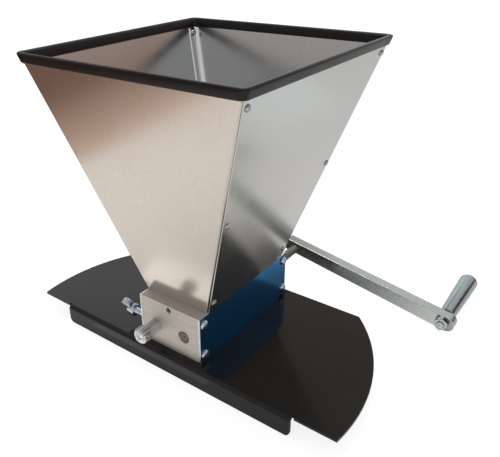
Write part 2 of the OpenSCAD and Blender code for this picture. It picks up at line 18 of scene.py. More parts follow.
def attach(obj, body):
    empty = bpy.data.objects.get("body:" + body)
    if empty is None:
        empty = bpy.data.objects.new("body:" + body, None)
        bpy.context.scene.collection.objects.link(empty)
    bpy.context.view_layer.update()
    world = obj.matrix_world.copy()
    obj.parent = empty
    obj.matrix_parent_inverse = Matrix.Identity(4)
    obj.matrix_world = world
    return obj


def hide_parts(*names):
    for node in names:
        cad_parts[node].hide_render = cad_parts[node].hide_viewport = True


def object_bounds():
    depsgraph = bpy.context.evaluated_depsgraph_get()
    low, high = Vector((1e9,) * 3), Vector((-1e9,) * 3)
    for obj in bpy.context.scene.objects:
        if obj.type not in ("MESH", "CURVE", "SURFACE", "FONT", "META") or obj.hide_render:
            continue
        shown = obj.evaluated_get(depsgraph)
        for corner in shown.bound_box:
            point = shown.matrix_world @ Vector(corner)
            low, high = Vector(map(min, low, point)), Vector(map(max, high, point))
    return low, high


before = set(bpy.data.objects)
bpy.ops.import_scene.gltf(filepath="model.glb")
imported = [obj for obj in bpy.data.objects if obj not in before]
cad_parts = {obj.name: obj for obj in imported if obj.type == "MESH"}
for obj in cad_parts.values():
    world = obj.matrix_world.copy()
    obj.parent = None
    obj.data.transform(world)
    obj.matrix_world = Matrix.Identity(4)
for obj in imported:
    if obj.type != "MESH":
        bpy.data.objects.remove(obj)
CAD_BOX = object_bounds()

LOG = logging.getLogger("malt_mill")
MM = 0.001
WELD = 1e-4  # points of a new mesh that lie closer than this become one
NODE_WELD = 0.002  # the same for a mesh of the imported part
FLAT_ANGLE = 0.5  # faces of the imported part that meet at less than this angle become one
OVERSHOOT = 1.0  # how far a cutter runs past the face that it cuts
ROUND_EDGES = {"segments": 2, "profile": 0.5, "affect": "EDGES"}

Point = tuple[float, float, float]
Flat = tuple[float, float]
Colour = tuple[float, float, float]
Mesh = bmesh.types.BMesh
Piece = bpy.types.Object
Socket = bpy.types.NodeSocket
Value = Union[Socket, float, str, tuple[float, ...]]


class Slot(str, Enum):
    """Material slots of the record."""

    BASE = "powder_coat"
    BLOCK = "block_aluminium"
    PANEL = "blue_anodised"
    SCREW = "zinc_screws"
    BUSH = "bush_bronze"
    ROLLER = "roller_steel"
    PLATED = "bright_plated"
    SHEET = "stainless_sheet"
    TRIM = "black_trim"
    CRANK = "crank_zinc"
    SET_SCREW = "set_screw_steel"
    GRIP = "grip_steel"


class Body(str, Enum):
    """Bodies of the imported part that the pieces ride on."""

    FRAME = "frame"
    DRIVE = "drive"
    GRIP = "grip"
    FRONT_ADJUST = "front_adjust"
    REAR_ADJUST = "rear_adjust"
    FRONT_LOCK = "front_lock"
    REAR_LOCK = "rear_lock"


class Hand(int, Enum):
    """Side of a mirror plane: front or left is NEAR, back or right is FAR."""

    NEAR = -1
    FAR = 1


class Crease(float, Enum):
    """Sharpest angle between two faces that is still shaded smooth, in degrees."""

    NUT = 25.0
    MACHINED = 30.0
    SHEET = 32.0
    ROUNDED = 35.0
    SOFT = 40.0


class Wiring:
    """Adds nodes to a tree, and links or sets their inputs."""

    def __init__(self, tree: bpy.types.NodeTree) -> None:
        """Takes over a tree.

        Args:
            tree: the tree of a material, of the sky or of a modifier.
        """
        self.tree = tree

    def node(self, kind: str, inputs: Mapping[Union[str, int], Value], **settings: str) -> bpy.types.Node:
        """Adds a node.

        Args:
            kind: its type.
            inputs: a socket to link or a constant to set, by the input's name or number.
            settings: the node's own settings.

        Returns:
            The node.
        """
        made = self.tree.nodes.new(kind)
        for name, setting in settings.items():
            setattr(made, name, setting)
        for key, value in inputs.items():
            if isinstance(value, Socket):
                self.tree.links.new(value, made.inputs[key])
            else:
                made.inputs[key].default_value = value
        return made


class Toning(Wiring):
    """Nodes that work out colours and values from texture coordinates."""

    def __init__(self, tree: bpy.types.NodeTree, coords: str) -> None:
        """Clears a tree.

        Args:
            tree: the material's or sky's tree.
            coords: texture coordinates that it reads.
        """
        super().__init__(tree)
        tree.nodes.clear()
        self.coords = self.node("ShaderNodeTexCoord", {}).outputs[coords]

    def noise(self, scale: Point, detail: float = 4.0, rough: float = 0.6) -> Socket:
        """Noise on the coordinates.

        Args:
            scale: cells per metre along X, Y and Z.
            detail: octaves of the noise.
            rough: weight of the finer octaves.

        Returns:
            The noise value, about 0 to 1.
        """
        mapping = self.node("ShaderNodeMapping", {"Vector": self.coords, "Scale": scale})
        inputs = {"Vector": mapping.outputs["Vector"], "Scale": 1.0, "Detail": detail, "Roughness": rough}
        return self.node("ShaderNodeTexNoise", inputs).outputs["Fac"]

    def distance(self, way: Point) -> Socket:
        """Distance along a direction, from the coordinates."""
        node = self.node("ShaderNodeVectorMath", {0: self.coords, 1: way}, operation="DOT_PRODUCT")
        return node.outputs["Value"]

    def span(self, value: Socket, low: float = 0.0, high: float = 1.0,
             start: float = 0.3, end: float = 0.7) -> Socket:
        """Maps a value from start..end to low..high, clamped."""
        limits = {"From Min": start, "From Max": end, "To Min": low, "To Max": high}
        return self.node("ShaderNodeMapRange", {"Value": value, **limits}).outputs["Result"]

    def ramp(self, value: Socket, start: float, end: float) -> Socket:
        """Share, 0 to 1, of a value's way from start to end."""
        return self.span(value, 0.0, 1.0, start, end)

    def mix(self, factor: Socket, low: Union[Socket, Colour], high: Union[Socket, Colour]) -> Socket:
        """Mixes two colours, each a socket or a constant, by a factor."""
        under, over = ((*tone, 1.0) if isinstance(tone, tuple) else tone for tone in (low, high))
        return self.node("ShaderNodeMix", {0: factor, 6: under, 7: over}, data_type="RGBA").outputs[2]

    def work_out(self, operation: str, first: Socket, second: Socket) -> Socket:
        """Adds or multiplies two values."""
        return self.node("ShaderNodeMath", {0: first, 1: second}, operation=operation).outputs[0]


class Shader(Toning):
    """Nodes of one material, which end in one principled shader."""

    def __init__(self, name: str) -> None:
        """Starts a material.

        Args:
            name: name of the material.
        """
        self.material = bpy.data.materials.new(name)
        self.material.use_nodes = True
        super().__init__(self.material.node_tree, "Object")

    def edge_wear_and_highlight(self) -> Socket:
        """Reads the piece's own edge attribute, 1 along its rounded edges, where a coating paints rubbed wear
        and a metal a painted highlight.
        """
        return self.node("ShaderNodeAttribute", {}, attribute_name="edge").outputs["Fac"]

    def bump(self, height: Socket, distance: float, strength: float,
             under: Optional[Socket] = None) -> Socket:
        """Turns a height into a normal.

        Args:
            height: height, 0 to 1.
            distance: height of the bumps in millimetres.
            strength: share of the effect.
            under: normal of a coarser bump below this one.

        Returns:
            The bent normal.
        """
        inputs = {"Height": height, "Distance": distance * MM, "Strength": strength}
        if under is not None:
            inputs["Normal"] = under
        return self.node("ShaderNodeBump", inputs).outputs["Normal"]

    def surface(self, **inputs: Value) -> None:
        """Ends the material in its principled shader.

        Args:
            inputs: a socket or a constant for each input, named with _ for a blank.
        """
        named = {name.replace("_", " "): value for name, value in inputs.items()}
        bsdf = self.node("ShaderNodeBsdfPrincipled", named)
        self.node("ShaderNodeOutputMaterial", {"Surface": bsdf.outputs["BSDF"]})


@dataclass(frozen=True)
class Finish:
    """A finish: its name and the record's slot."""

    name: str
    slot: Slot

    def paint(self, shader: Shader) -> None:
        """Adds the finish's nodes."""
        raise NotImplementedError

    def material(self) -> bpy.types.Material:
        """Makes the finish's material, or finds it where it is made already.

        Returns:
            The material.
        """
        made = bpy.data.materials.get(self.name)
        if made is None:
            shader = Shader(self.name)
            self.paint(shader)
            made = shader.material
        return made


@dataclass(frozen=True)
class GrainedMetal(Finish):
    """Metal with a grain: brushed sheet, machined block, turned bar or plated screw.

    The grain is noise stretched along one direction. It varies colour, roughness and
    height, and clouds of handling marks vary the roughness at a larger scale.
    """

    dark: Colour = (0.6, 0.6, 0.6)
    light: Colour = (0.7, 0.7, 0.7)
    grain: Point = (900.0, 900.0, 8.0)  # cells per metre
    smooth: float = 0.2
    coarse: float = 0.3
    cut: float = 0.02  # depth of the grain
    cut_share: float = 0.3
    cloud: float = 18.0
    handling: float = 0.04  # roughness that the marks add
    sway: float = 0.0  # height of the sheet's waves
    sway_scale: float = 12.0
    # edge: colour of a painted highlight on the faces that the edge attribute marks
    edge: Optional[Colour] = None
    metal: float = 1.0

    def paint(self, shader: Shader) -> None:
        """Adds grain, handling clouds, sway of the sheet and a painted highlight on the marked edges.

        Args:
            shader: nodes of the finish's material.
        """
        streak, clouds = shader.noise(self.grain), shader.noise((self.cloud,) * 3)
        colour = shader.mix(shader.span(streak), self.dark, self.light)
        # Painted highlight: the marked edge faces take the lighter edge colour.
        if self.edge is not None:
            colour = shader.mix(shader.edge_wear_and_highlight(), colour, self.edge)
        mean = (self.smooth + self.coarse) / 2
        rough = shader.work_out("ADD", shader.span(streak, self.smooth / 2, self.coarse / 2),
                                shader.span(clouds, self.smooth / 2, mean / 2 + self.handling))
        under = None
        if self.sway > 0:
            under = shader.bump(shader.noise((self.sway_scale,) * 3, detail=1.0, rough=0.4), self.sway, 1.0)
        shader.surface(Base_Color=colour, Roughness=rough, Metallic=self.metal,
                       Normal=shader.bump(streak, self.cut, self.cut_share, under))


@dataclass(frozen=True)
class Coating(Finish):
    """Non-metallic skin: powder coat or rubber, with a fine pebble and rubbed edges."""

    dark: Colour = (0.009, 0.008, 0.007)
    light: Colour = (0.014, 0.0125, 0.011)
    rubbed: Colour = (0.014, 0.0125, 0.011)
    rub_scale: float = 90.0
    gloss: float = 0.32
    pebble: float = 1300.0  # cells per metre
    pebble_height: float = 0.03
    pebble_share: float = 0.2
    pebble_rough: float = 0.03
    smooth: float = 0.11
    coarse: float = 0.17
    cloud: float = 16.0

    def paint(self, shader: Shader) -> None:
        """Adds pebble, clouds of dust and rubbed edges.

        Args:
            shader: nodes of the finish's material.
        """
        clouds = shader.noise((self.cloud,) * 3, detail=5.0)
        pebble = shader.noise((self.pebble,) * 3, detail=2.0, rough=0.5)
        patches = shader.span(shader.noise((self.rub_scale,) * 3, rough=0.55), low=0.1, high=0.9)
        colour = shader.mix(shader.span(clouds), self.dark, self.light)
        colour = shader.mix(shader.work_out("MULTIPLY", shader.edge_wear_and_highlight(), patches), colour, self.rubbed)
        rough = shader.work_out("ADD", shader.span(clouds, self.smooth, self.coarse),
                                shader.span(pebble, -self.pebble_rough, self.pebble_rough))
        shader.surface(Base_Color=colour, Roughness=rough, Specular_IOR_Level=self.gloss,
                       Normal=shader.bump(pebble, self.pebble_height, self.pebble_share))


POWDER_COAT = Coating("powder_coat_black", Slot.BASE)
TRIM_RUBBER = Coating("trim_black", Slot.TRIM, dark=(0.006, 0.0046, 0.004), light=(0.011, 0.0088, 0.0078),
                      rubbed=(0.02, 0.018, 0.017), gloss=0.28, pebble=2200.0, pebble_height=0.015,
                      smooth=0.30, coarse=0.40, cloud=30.0)
# Front and back sheets: the hopper's one stainless steel, tinted warm as a painted reflection of the warm
# floor in front.
END_STEEL_WARM_REFLECTION = GrainedMetal("end_sheet_steel", Slot.SHEET, dark=(0.62, 0.56, 0.505), light=(0.71, 0.65, 0.595),
                         grain=(1500.0, 1500.0, 9.0), smooth=0.15, coarse=0.22, cut=0.006, cut_share=0.25,
                         sway=0.25)
# Inner faces: a neutral copy of the same steel set to the inside's reflections, whose white edge colour is a
# painted highlight on the bends and the flanges' rounded ends.
INNER_STEEL_PAINTED_HIGHLIGHT = replace(END_STEEL_WARM_REFLECTION, name="inner_sheet_steel", dark=(0.61,) * 3, light=(0.69,) * 3,
                      edge=(0.98, 0.97, 0.95))
# Side sheets: a darker, cooler copy of the same steel, a painted reflection of the dimmer grey surroundings
# at the sides.
SIDE_STEEL_COOL_REFLECTION = replace(END_STEEL_WARM_REFLECTION, name="side_sheet_steel", dark=(0.53, 0.52, 0.50), light=(0.60, 0.59, 0.57),
                     smooth=0.17, coarse=0.25)
# Its lighter edge colour is a painted highlight on the blocks' chamfers.
BLOCK = GrainedMetal("block_brushed", Slot.BLOCK, dark=(0.64, 0.60, 0.545), light=(0.76, 0.72, 0.665),
                     grain=(9.0, 900.0, 900.0), smooth=0.60, coarse=0.72, cut_share=0.4,
                     edge=(0.80, 0.78, 0.75))
PANEL = GrainedMetal("panel_blue", Slot.PANEL, dark=(0.018, 0.18, 0.42), light=(0.026, 0.245, 0.55),
                     grain=(900.0, 9.0, 900.0), smooth=0.17, coarse=0.26, cut=0.008, metal=0.9)
BARE_EDGE = GrainedMetal("panel_cut_edge", Slot.PANEL, dark=(0.62, 0.64, 0.66), light=(0.80, 0.81, 0.82),
                         grain=(300.0,) * 3, smooth=0.3, coarse=0.42, cut=0.03)
ZINC = GrainedMetal("screw_zinc", Slot.SCREW, dark=(0.46, 0.49, 0.51), light=(0.86, 0.89, 0.91),
                    grain=(700.0,) * 3, smooth=0.16, coarse=0.28)
SHEET_SCREW = replace(ZINC, name="sheet_screw_zinc", dark=(0.40, 0.41, 0.41), light=(0.58, 0.59, 0.59),
                      smooth=0.18, coarse=0.30)
PLATED = GrainedMetal("adjuster_plating", Slot.PLATED, dark=(0.20, 0.22, 0.22), light=(0.50, 0.53, 0.53),
                      grain=(420.0,) * 3, smooth=0.09, coarse=0.18)
TURNED = GrainedMetal("adjuster_turned", Slot.PLATED, dark=(0.24, 0.26, 0.265), light=(0.90, 0.93, 0.935),
                      grain=(620.0, 12.0, 620.0), smooth=0.08, coarse=0.16)
LOCK_PLATING = GrainedMetal("lock_screw_plating", Slot.PLATED, dark=(0.34, 0.37, 0.38),
                            light=(0.92, 0.95, 0.96), grain=(420.0,) * 3, smooth=0.22, coarse=0.34,
                            cut=0.05, cut_share=0.4)
# Its lighter edge colour is a painted highlight along the arm's rounded edges.
CRANK = GrainedMetal("crank_cast_zinc", Slot.CRANK, dark=(0.34, 0.365, 0.35), light=(0.50, 0.525, 0.51),
                     grain=(1100.0, 900.0, 1100.0), smooth=0.20, coarse=0.33, cut=0.05, cut_share=0.45,
                     cloud=60.0, edge=(0.70, 0.72, 0.71))
GRIP = GrainedMetal("grip_turned_steel", Slot.GRIP, dark=(0.26, 0.297, 0.304), light=(0.37, 0.405, 0.41),
                    grain=(400.0, 700.0, 400.0), smooth=0.13, coarse=0.22, cut=0.015, cloud=70.0)
ROLLER = GrainedMetal("roller_fluted_steel", Slot.ROLLER, dark=(0.13, 0.127, 0.123),
                      light=(0.25, 0.246, 0.24), grain=(500.0, 60.0, 500.0), smooth=0.3, coarse=0.45,
                      cut=0.03, cloud=40.0)
# Near black, far darker than bronze: painted shade in the bushes' recesses.
BRONZE_PAINTED_SHADE = GrainedMetal("bush_bronze", Slot.BUSH, dark=(0.02, 0.016, 0.012), light=(0.045, 0.036, 0.027),
                      grain=(500.0,) * 3, smooth=0.34, coarse=0.5, cut=0.03)
BLACK_STEEL = GrainedMetal("set_screw_black", Slot.SET_SCREW, dark=(0.05, 0.05, 0.055),
                           light=(0.10, 0.10, 0.105), grain=(600.0,) * 3, smooth=0.34, coarse=0.5, cut=0.03)


def fillet(corners: Sequence[Point], steps: int = 5, loop: bool = False) -> list[Flat]:
    """Rounds the corners of a flat line.

    Args:
        corners: x, y and rounding radius of each corner.
        steps: straight pieces in each rounding.
        loop: whether the line is closed.

    Returns:
        The rounded line's points.
    """
    points: list[Flat] = []
    count = len(corners)
    for i, (x, y, radius) in enumerate(corners):
        if radius <= 0 or (not loop and i in (0, count - 1)):
            points.append((x, y))
            continue
        here = Vector((x, y))
        before = (Vector(corners[i - 1][:2]) - here).normalized()
        after = (Vector(corners[(i + 1) % count][:2]) - here).normalized()
        half = before.angle(after) / 2
        centre = here + (before + after).normalized() * (radius / math.sin(half))
        reach = radius / math.tan(half)
        start, end = here + before * reach - centre, here + after * reach - centre
        points += [tuple(centre + start.slerp(end, k / steps) * radius) for k in range(steps + 1)]
    return points


def skin(rings: Sequence[Sequence[Point]], loop: bool = False) -> Mesh:
    """Joins closed rings of equal length with quads.

    Args:
        rings: the rings' points, in millimetres.
        loop: whether the last ring joins the first; otherwise both ends are capped.

    Returns:
        A closed mesh with its faces outwards.
    """
    mesh = bmesh.new()
    rows = [[mesh.verts.new(p) for p in ring] for ring in rings]
    pairs = list(zip(rows, rows[1:])) + ([(rows[-1], rows[0])] if loop else [])
    for low, high in pairs:
        for i in range(len(low)):
            j = (i + 1) % len(low)
            mesh.faces.new((low[i], low[j], high[j], high[i]))
    if not loop:
        mesh.faces.new(rows[0][::-1])
        mesh.faces.new(rows[-1])
    bmesh.ops.remove_doubles(mesh, verts=mesh.verts, dist=WELD)
    bmesh.ops.recalc_face_normals(mesh, faces=mesh.faces)
    return mesh


def turned(profile: Sequence[Flat], place: Matrix, steps: int = 72, loop: bool = False) -> Mesh:
    """Turns a profile about the local Z axis.

    Args:
        profile: radius and height of each point.
        place: local frame, in millimetres.
        steps: number of facets round the axis.
        loop: whether the profile is closed, as on a tube.

    Returns:
        The turned mesh in its place.
    """
    angles = [2 * math.pi * i / steps for i in range(steps)]
    mesh = skin([[(r * math.cos(a), r * math.sin(a), h) for a in angles] for r, h in profile], loop)
    mesh.transform(place)
    return mesh


def level(x: Flat, y: Flat, z: float) -> list[Point]:
    """Corners of a level rectangle between two x and two y, at a height."""
    return [(x[0], y[0], z), (x[1], y[0], z), (x[1], y[1], z), (x[0], y[1], z)]


def facing(origin: Point, axis: Point) -> Matrix:
    """Frame at an origin whose Z points along an axis."""
    return Matrix.Translation(origin) @ Vector(axis).to_track_quat("Z", "Y").to_matrix().to_4x4()


def link(name: str, mesh: bpy.types.Mesh) -> Piece:
    """Puts a mesh in the scene as an object at the origin.

    Args:
        name: name of the object.
        mesh: its mesh.

    Returns:
        The object.
    """
    made = bpy.data.objects.new(name, mesh)
    bpy.context.scene.collection.objects.link(made)
    return made


def piece(name: str, *parts: Mesh) -> Piece:
    """Makes one object of several meshes and turns millimetres into metres.

    Args:
        name: name of the piece.
        parts: its meshes, which are used up.

    Returns:
        The object, at the origin, with its place in its mesh.
    """
    whole = bmesh.new()
    for part in parts:
        spare = bpy.data.meshes.new("spare")
        part.to_mesh(spare)
        part.free()
        whole.from_mesh(spare)
        bpy.data.meshes.remove(spare)
    whole.transform(Matrix.Scale(MM, 4))
    mesh = bpy.data.meshes.new(name)
    whole.to_mesh(mesh)
    whole.free()
    return link(name, mesh)


def settle_modifiers(made: Piece) -> None:
    """Turns an object with modifiers into a plain mesh.

    Args:
        made: the object.
    """
    graph = bpy.context.evaluated_depsgraph_get()
    plain = bpy.data.meshes.new_from_object(made.evaluated_get(graph), preserve_all_data_layers=True,
                                            depsgraph=graph)
    old = made.data
    plain.name = old.name
    made.modifiers.clear()
    made.data = plain
    bpy.data.meshes.remove(old)


def smooth(made: Piece, crease: Crease, weighted: bool = False) -> None:
    """Shades an object smooth, apart from its creases.

    Args:
        made: the object.
        crease: sharpest angle that is still smoothed.
        weighted: whether large faces set the normals, as on sheet and machined faces.
    """
    made.data.shade_smooth()
    made.data.set_sharp_from_angle(angle=math.radians(crease))
    if weighted:
        modifier = made.modifiers.new("weighted", "WEIGHTED_NORMAL")
        modifier.keep_sharp = True
        settle_modifiers(made)


def carve(made: Piece, cutter: Mesh) -> None:
    """Takes a cutter's volume out of an object.

    Args:
        made: the object.
        cutter: the cutter in millimetres, which is used up.
    """
    spent = piece("cutter", cutter)
    modifier = made.modifiers.new("carve", "BOOLEAN")
    modifier.operation = "DIFFERENCE"
    modifier.solver = "EXACT"
    modifier.object = spent
    settle_modifiers(made)
    mesh = spent.data
    bpy.data.objects.remove(spent)
    bpy.data.meshes.remove(mesh)


def drill(made: Piece, radius: float, reach: Flat, place: Matrix, steps: int) -> None:
    """Drills a round hole.

    Args:
        made: the object.
        radius: radius of the hole.
        reach: its start and end along the local Z axis.
        place: local frame, in millimetres.
        steps: number of facets round the hole.
    """
    start, end = reach
    carve(made, turned([(0, start), (radius, start), (radius, end), (0, end)], place, steps))


def machined(node: str, bevel: float = 0.0, shortest: float = 4.0, sharp: float = 28.0,
             square: float = 0.985) -> Piece:
    """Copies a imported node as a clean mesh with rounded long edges.

    Args:
        node: name of the node.
        bevel: rounding of the edges, in millimetres.
        shortest: shortest edge that is rounded, in millimetres.
        sharp: least angle of an edge that is rounded, in degrees.
        square: largest part of the normal, along one axis, of a face that counts as chamfered.

    Returns:
        The copy, with the attribute edge at 1 on its rounded or chamfered edges.
    """
    mesh = bmesh.new()
    mesh.from_mesh(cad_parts[node].data)
    bmesh.ops.remove_doubles(mesh, verts=mesh.verts, dist=NODE_WELD * MM)
    bmesh.ops.dissolve_limit(mesh, angle_limit=math.radians(FLAT_ANGLE), verts=mesh.verts, edges=mesh.edges)
    layer = mesh.faces.layers.float.new("edge")
    if bevel > 0:
        edges = [e for e in mesh.edges if len(e.link_faces) == 2 and e.calc_length() > shortest * MM
                 and e.calc_face_angle(0.0) > math.radians(sharp)]
        wear_and_highlight_faces = bmesh.ops.bevel(mesh, geom=edges, offset=bevel * MM, clamp_overlap=True,
                               **ROUND_EDGES)["faces"]
    else:
        wear_and_highlight_faces = [face for face in mesh.faces if max(abs(n) for n in face.normal) < square]
    # These faces carry a coating's rubbed wear and a metal's painted highlight.
    for face in wear_and_highlight_faces:
        face[layer] = 1.0
    data = bpy.data.meshes.new(node + "_dressed")
    mesh.to_mesh(data)
    mesh.free()
    copy = link(node + "_dressed", data)
    smooth(copy, Crease.MACHINED, weighted=True)
    return copy


def dress(made: Piece, finish: Finish, body: Body, *nodes: str) -> None:
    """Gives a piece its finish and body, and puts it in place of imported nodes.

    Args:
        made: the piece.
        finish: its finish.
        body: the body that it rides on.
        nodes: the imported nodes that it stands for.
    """
    if not made.data.materials:
        made.data.materials.append(finish.material())
    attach(made, body.value)
    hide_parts(*nodes)
    LOG.info("%s: %d faces on %s", made.name, len(made.data.polygons), body.value)


def carry(node: str, finish: Finish) -> None:
    """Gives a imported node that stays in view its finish.

    Args:
        node: name of the node.
        finish: its finish.
    """
    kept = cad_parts[node]
    kept.data.materials.clear()
    kept.data.materials.append(finish.material())
    smooth(kept, Crease.MACHINED)
    LOG.info("%s: carried over", node)


class NodeTree(Wiring):
    """A Geometry Nodes tree with named inputs, made in script."""

    def __init__(self, name: str, **inputs: str) -> None:
        """Starts the tree.

        Args:
            name: name of the tree.
            inputs: kind of each input after the geometry.
        """
        super().__init__(bpy.data.node_groups.new(name, "GeometryNodeTree"))
        face = self.tree.interface
        for label, kind in {"Geometry": "Geometry", **inputs}.items():
            face.new_socket(label, in_out="INPUT", socket_type="NodeSocket" + kind)
        face.new_socket("Geometry", in_out="OUTPUT", socket_type="NodeSocketGeometry")
        self.given = self.node("NodeGroupInput", {}).outputs

    def close(self, geometry: Socket) -> None:
        """Ends the tree in Realize Instances and Set Material.

        Args:
            geometry: what the tree has made.
        """
        real = self.node("GeometryNodeRealizeInstances", {"Geometry": geometry})
        painted = self.node("GeometryNodeSetMaterial",
                            {"Geometry": real.outputs[0], "Material": self.given["Finish"]})
        self.node("NodeGroupOutput", {0: painted.outputs[0]})

    def run(self, made: Piece, **values: object) -> None:
        """Runs the tree on an object and leaves a plain mesh.

        Args:
            made: the object.
            values: the inputs' values.
        """
        modifier = made.modifiers.new(self.tree.name, "NODES")
        modifier.node_group = self.tree
        for item in self.tree.interface.items_tree:
            if item.item_type == "SOCKET" and item.in_out == "INPUT" and item.name in values:
                modifier[item.identifier] = values[item.name]
        settle_modifiers(made)


def parts_on_points() -> NodeTree:
    """Tree that stands one part on each point of a mesh, along its facing attribute.

    Returns:
        The tree, whose random turn about each part's axis lies between Least and Most.
    """
    tree = NodeTree("parts_on_points", Part="Object", Least="Float", Most="Float", Seed="Int",
                    Finish="Material")
    part = tree.node("GeometryNodeObjectInfo", {"Object": tree.given["Part"]})
    toward = tree.node("GeometryNodeInputNamedAttribute", {"Name": "facing"}, data_type="FLOAT_VECTOR")
    aligned = tree.node("FunctionNodeAlignRotationToVector",
                        {"Vector": toward.outputs["Attribute"]}, axis="Z")
    stood = tree.node("GeometryNodeInstanceOnPoints",
                      {"Points": tree.given["Geometry"], "Instance": part.outputs["Geometry"],
                       "Rotation": aligned.outputs["Rotation"]})
    chance = tree.node("FunctionNodeRandomValue", {"Seed": tree.given["Seed"], 2: tree.given["Least"],
                                                   3: tree.given["Most"]}, data_type="FLOAT")
    spin = tree.node("ShaderNodeCombineXYZ", {"Z": chance.outputs[1]})
    twisted = tree.node("GeometryNodeRotateInstances",
                        {"Instances": stood.outputs[0], "Rotation": spin.outputs[0]})
    tree.close(twisted.outputs[0])
    return tree


def ribs_round_head() -> NodeTree:
    """Tree that adds straight ribs round a turned head.

    Returns:
        The tree, whose ring of ribs has a Count, a Radius, a Length, a Place and a Turn.
    """
    tree = NodeTree("ribs_round_head", Count="Int", Radius="Float", Length="Float", Rib="Float",
                    Place="Vector", Turn="Vector", Finish="Material")
    ring = tree.node("GeometryNodeMeshCircle",
                     {"Vertices": tree.given["Count"], "Radius": tree.given["Radius"]})
    rib = tree.node("GeometryNodeMeshCylinder",
                    {"Vertices": 4, "Radius": tree.given["Rib"], "Depth": tree.given["Length"]})
    spot = tree.node("GeometryNodeInputPosition", {})
    aligned = tree.node("FunctionNodeAlignRotationToVector", {"Vector": spot.outputs[0]}, axis="X")
    stood = tree.node("GeometryNodeInstanceOnPoints",
                      {"Points": ring.outputs[0], "Instance": rib.outputs[0],
                       "Rotation": aligned.outputs["Rotation"]})
    moved = tree.node("GeometryNodeTransform",
                      {"Geometry": stood.outputs[0], "Translation": tree.given["Place"],
                       "Rotation": tree.given["Turn"]})
    both = tree.node("GeometryNodeJoinGeometry", {0: tree.given["Geometry"]})
    tree.tree.links.new(moved.outputs[0], both.inputs[0])
    tree.close(both.outputs[0])
    return tree


def set_out(tree: NodeTree, part: Piece, spots: Sequence[tuple[Point, Point]], seed: int, finish: Finish,
            name: str, node: str) -> None:
    """Stands a part on each spot, each turned at random, and dresses the set.

    Args:
        tree: tree that stands parts on points.
        part: the part, which is used up.
        spots: place in millimetres and direction of each one.
        seed: seed of the turns.
        finish: the set's finish.
        name: name of the set.
        node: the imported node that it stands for.
    """
    mesh = bpy.data.meshes.new(name)
    mesh.from_pydata([tuple(c * MM for c in spot) for spot, _ in spots], [], [])
    layer = mesh.attributes.new("facing", "FLOAT_VECTOR", "POINT")
    for item, (_, way) in zip(layer.data, spots):
        item.vector = way
    made = link(name, mesh)
    tree.run(made, Part=part, Least=0.0, Most=math.pi, Seed=seed, Finish=finish.material())
    bpy.data.objects.remove(part)
    dress(made, finish, Body.FRAME, node)


@dataclass
class PanScrew:
    """Domed screw with a cross recess, standing on z = 0 with its shank down.

    The head is sized in thread diameters, and its dome and recess in head radii and rises.
    """

    thread: float = 5.0
    shank: float = 11.0
    steps: int = 40
    round_steps: int = 4
    head: float = 0.9  # radius
    rise: float = 0.6
    dome: tuple[Point, ...] = ((0.62, 0.97, 0.9), (1.0, 0.42, 0.25), (1.0, 0.0, 0.06))
    slot_length: float = 1.05
    slot_width: float = 0.2
    slot_depth: float = 0.62
    slot_taper: float = 0.55

    def part(self) -> Piece:
        """Turns the screw and carves its recess.

        Returns:
            The screw as an object for instancing.
        """
        head, rise, core = self.head * self.thread, self.rise * self.thread, self.thread / 2
        dome = [(x * head, z * rise, radius * head) for x, z, radius in self.dome]
        profile = fillet([(0, rise, 0), *dome, (core, 0, 0), (core, -self.shank, 0), (0, -self.shank, 0)],
                         self.round_steps)
        made = piece("screw_part", turned(profile, Matrix.Identity(4), self.steps))
        size = (self.slot_length * head, self.slot_width * self.thread, 2 * (self.slot_depth * rise), 1)
        for turn in (0.0, math.pi / 2):
            place = Matrix.Rotation(turn, 4, "Z") @ Matrix.Translation((0, 0, rise)) @ Matrix.Diagonal(size)
            slot = bmesh.new()
            bmesh.ops.create_cube(slot, size=1.0, matrix=place)
            for vert in slot.verts:
                if vert.co.z < rise:
                    vert.co.xy *= self.slot_taper
            carve(made, slot)
        smooth(made, Crease.ROUNDED)
        return made


@dataclass
class HexNut:
    """Hexagon nut with chamfered corners, standing on z = 0."""

    flats: float
    height: float
    bore: float
    chamfer: float = 0.35
    washer_face: float = 0.97
    steps: int = 24

    def ring(self, height: float, cap: float) -> list[Point]:
        """Hexagon at a height, cut off to a circle.

        Args:
            height: its height.
            cap: radius of the circle.

        Returns:
            Its points.
        """
        points = []
        for i in range(self.steps):
            angle = 2 * math.pi * i / self.steps
            away = self.flats / 2 / math.cos((angle + math.pi / 6) % (math.pi / 3) - math.pi / 6)
            radius = min(away, cap)
            points.append((radius * math.cos(angle), radius * math.sin(angle), height))
        return points

    def mesh(self, place: Matrix) -> Mesh:
        """The nut in its place.

        Args:
            place: local frame, in millimetres.

        Returns:
            Its mesh.
        """
        corner, face = self.flats / 2 / math.cos(math.pi / 6), self.flats / 2 * self.washer_face
        rows = ((0.0, face), (self.chamfer, corner), (self.height - self.chamfer, corner),
                (self.height, face), (self.height, self.bore / 2), (0.0, self.bore / 2))
        mesh = skin([self.ring(height, cap) for height, cap in rows], loop=True)
        mesh.transform(place)
        return mesh


@dataclass
class BasePlate:
    """Base plate with its folded flanges, and the countersunk screws in it."""

    rounding: float = 0.45

    def build(self) -> None:
        """Makes the plate and dresses it and its screws."""
        dress(machined("base_plate", self.rounding), POWDER_COAT, Body.FRAME, "base_plate")
        carry("base_screws", ZINC)


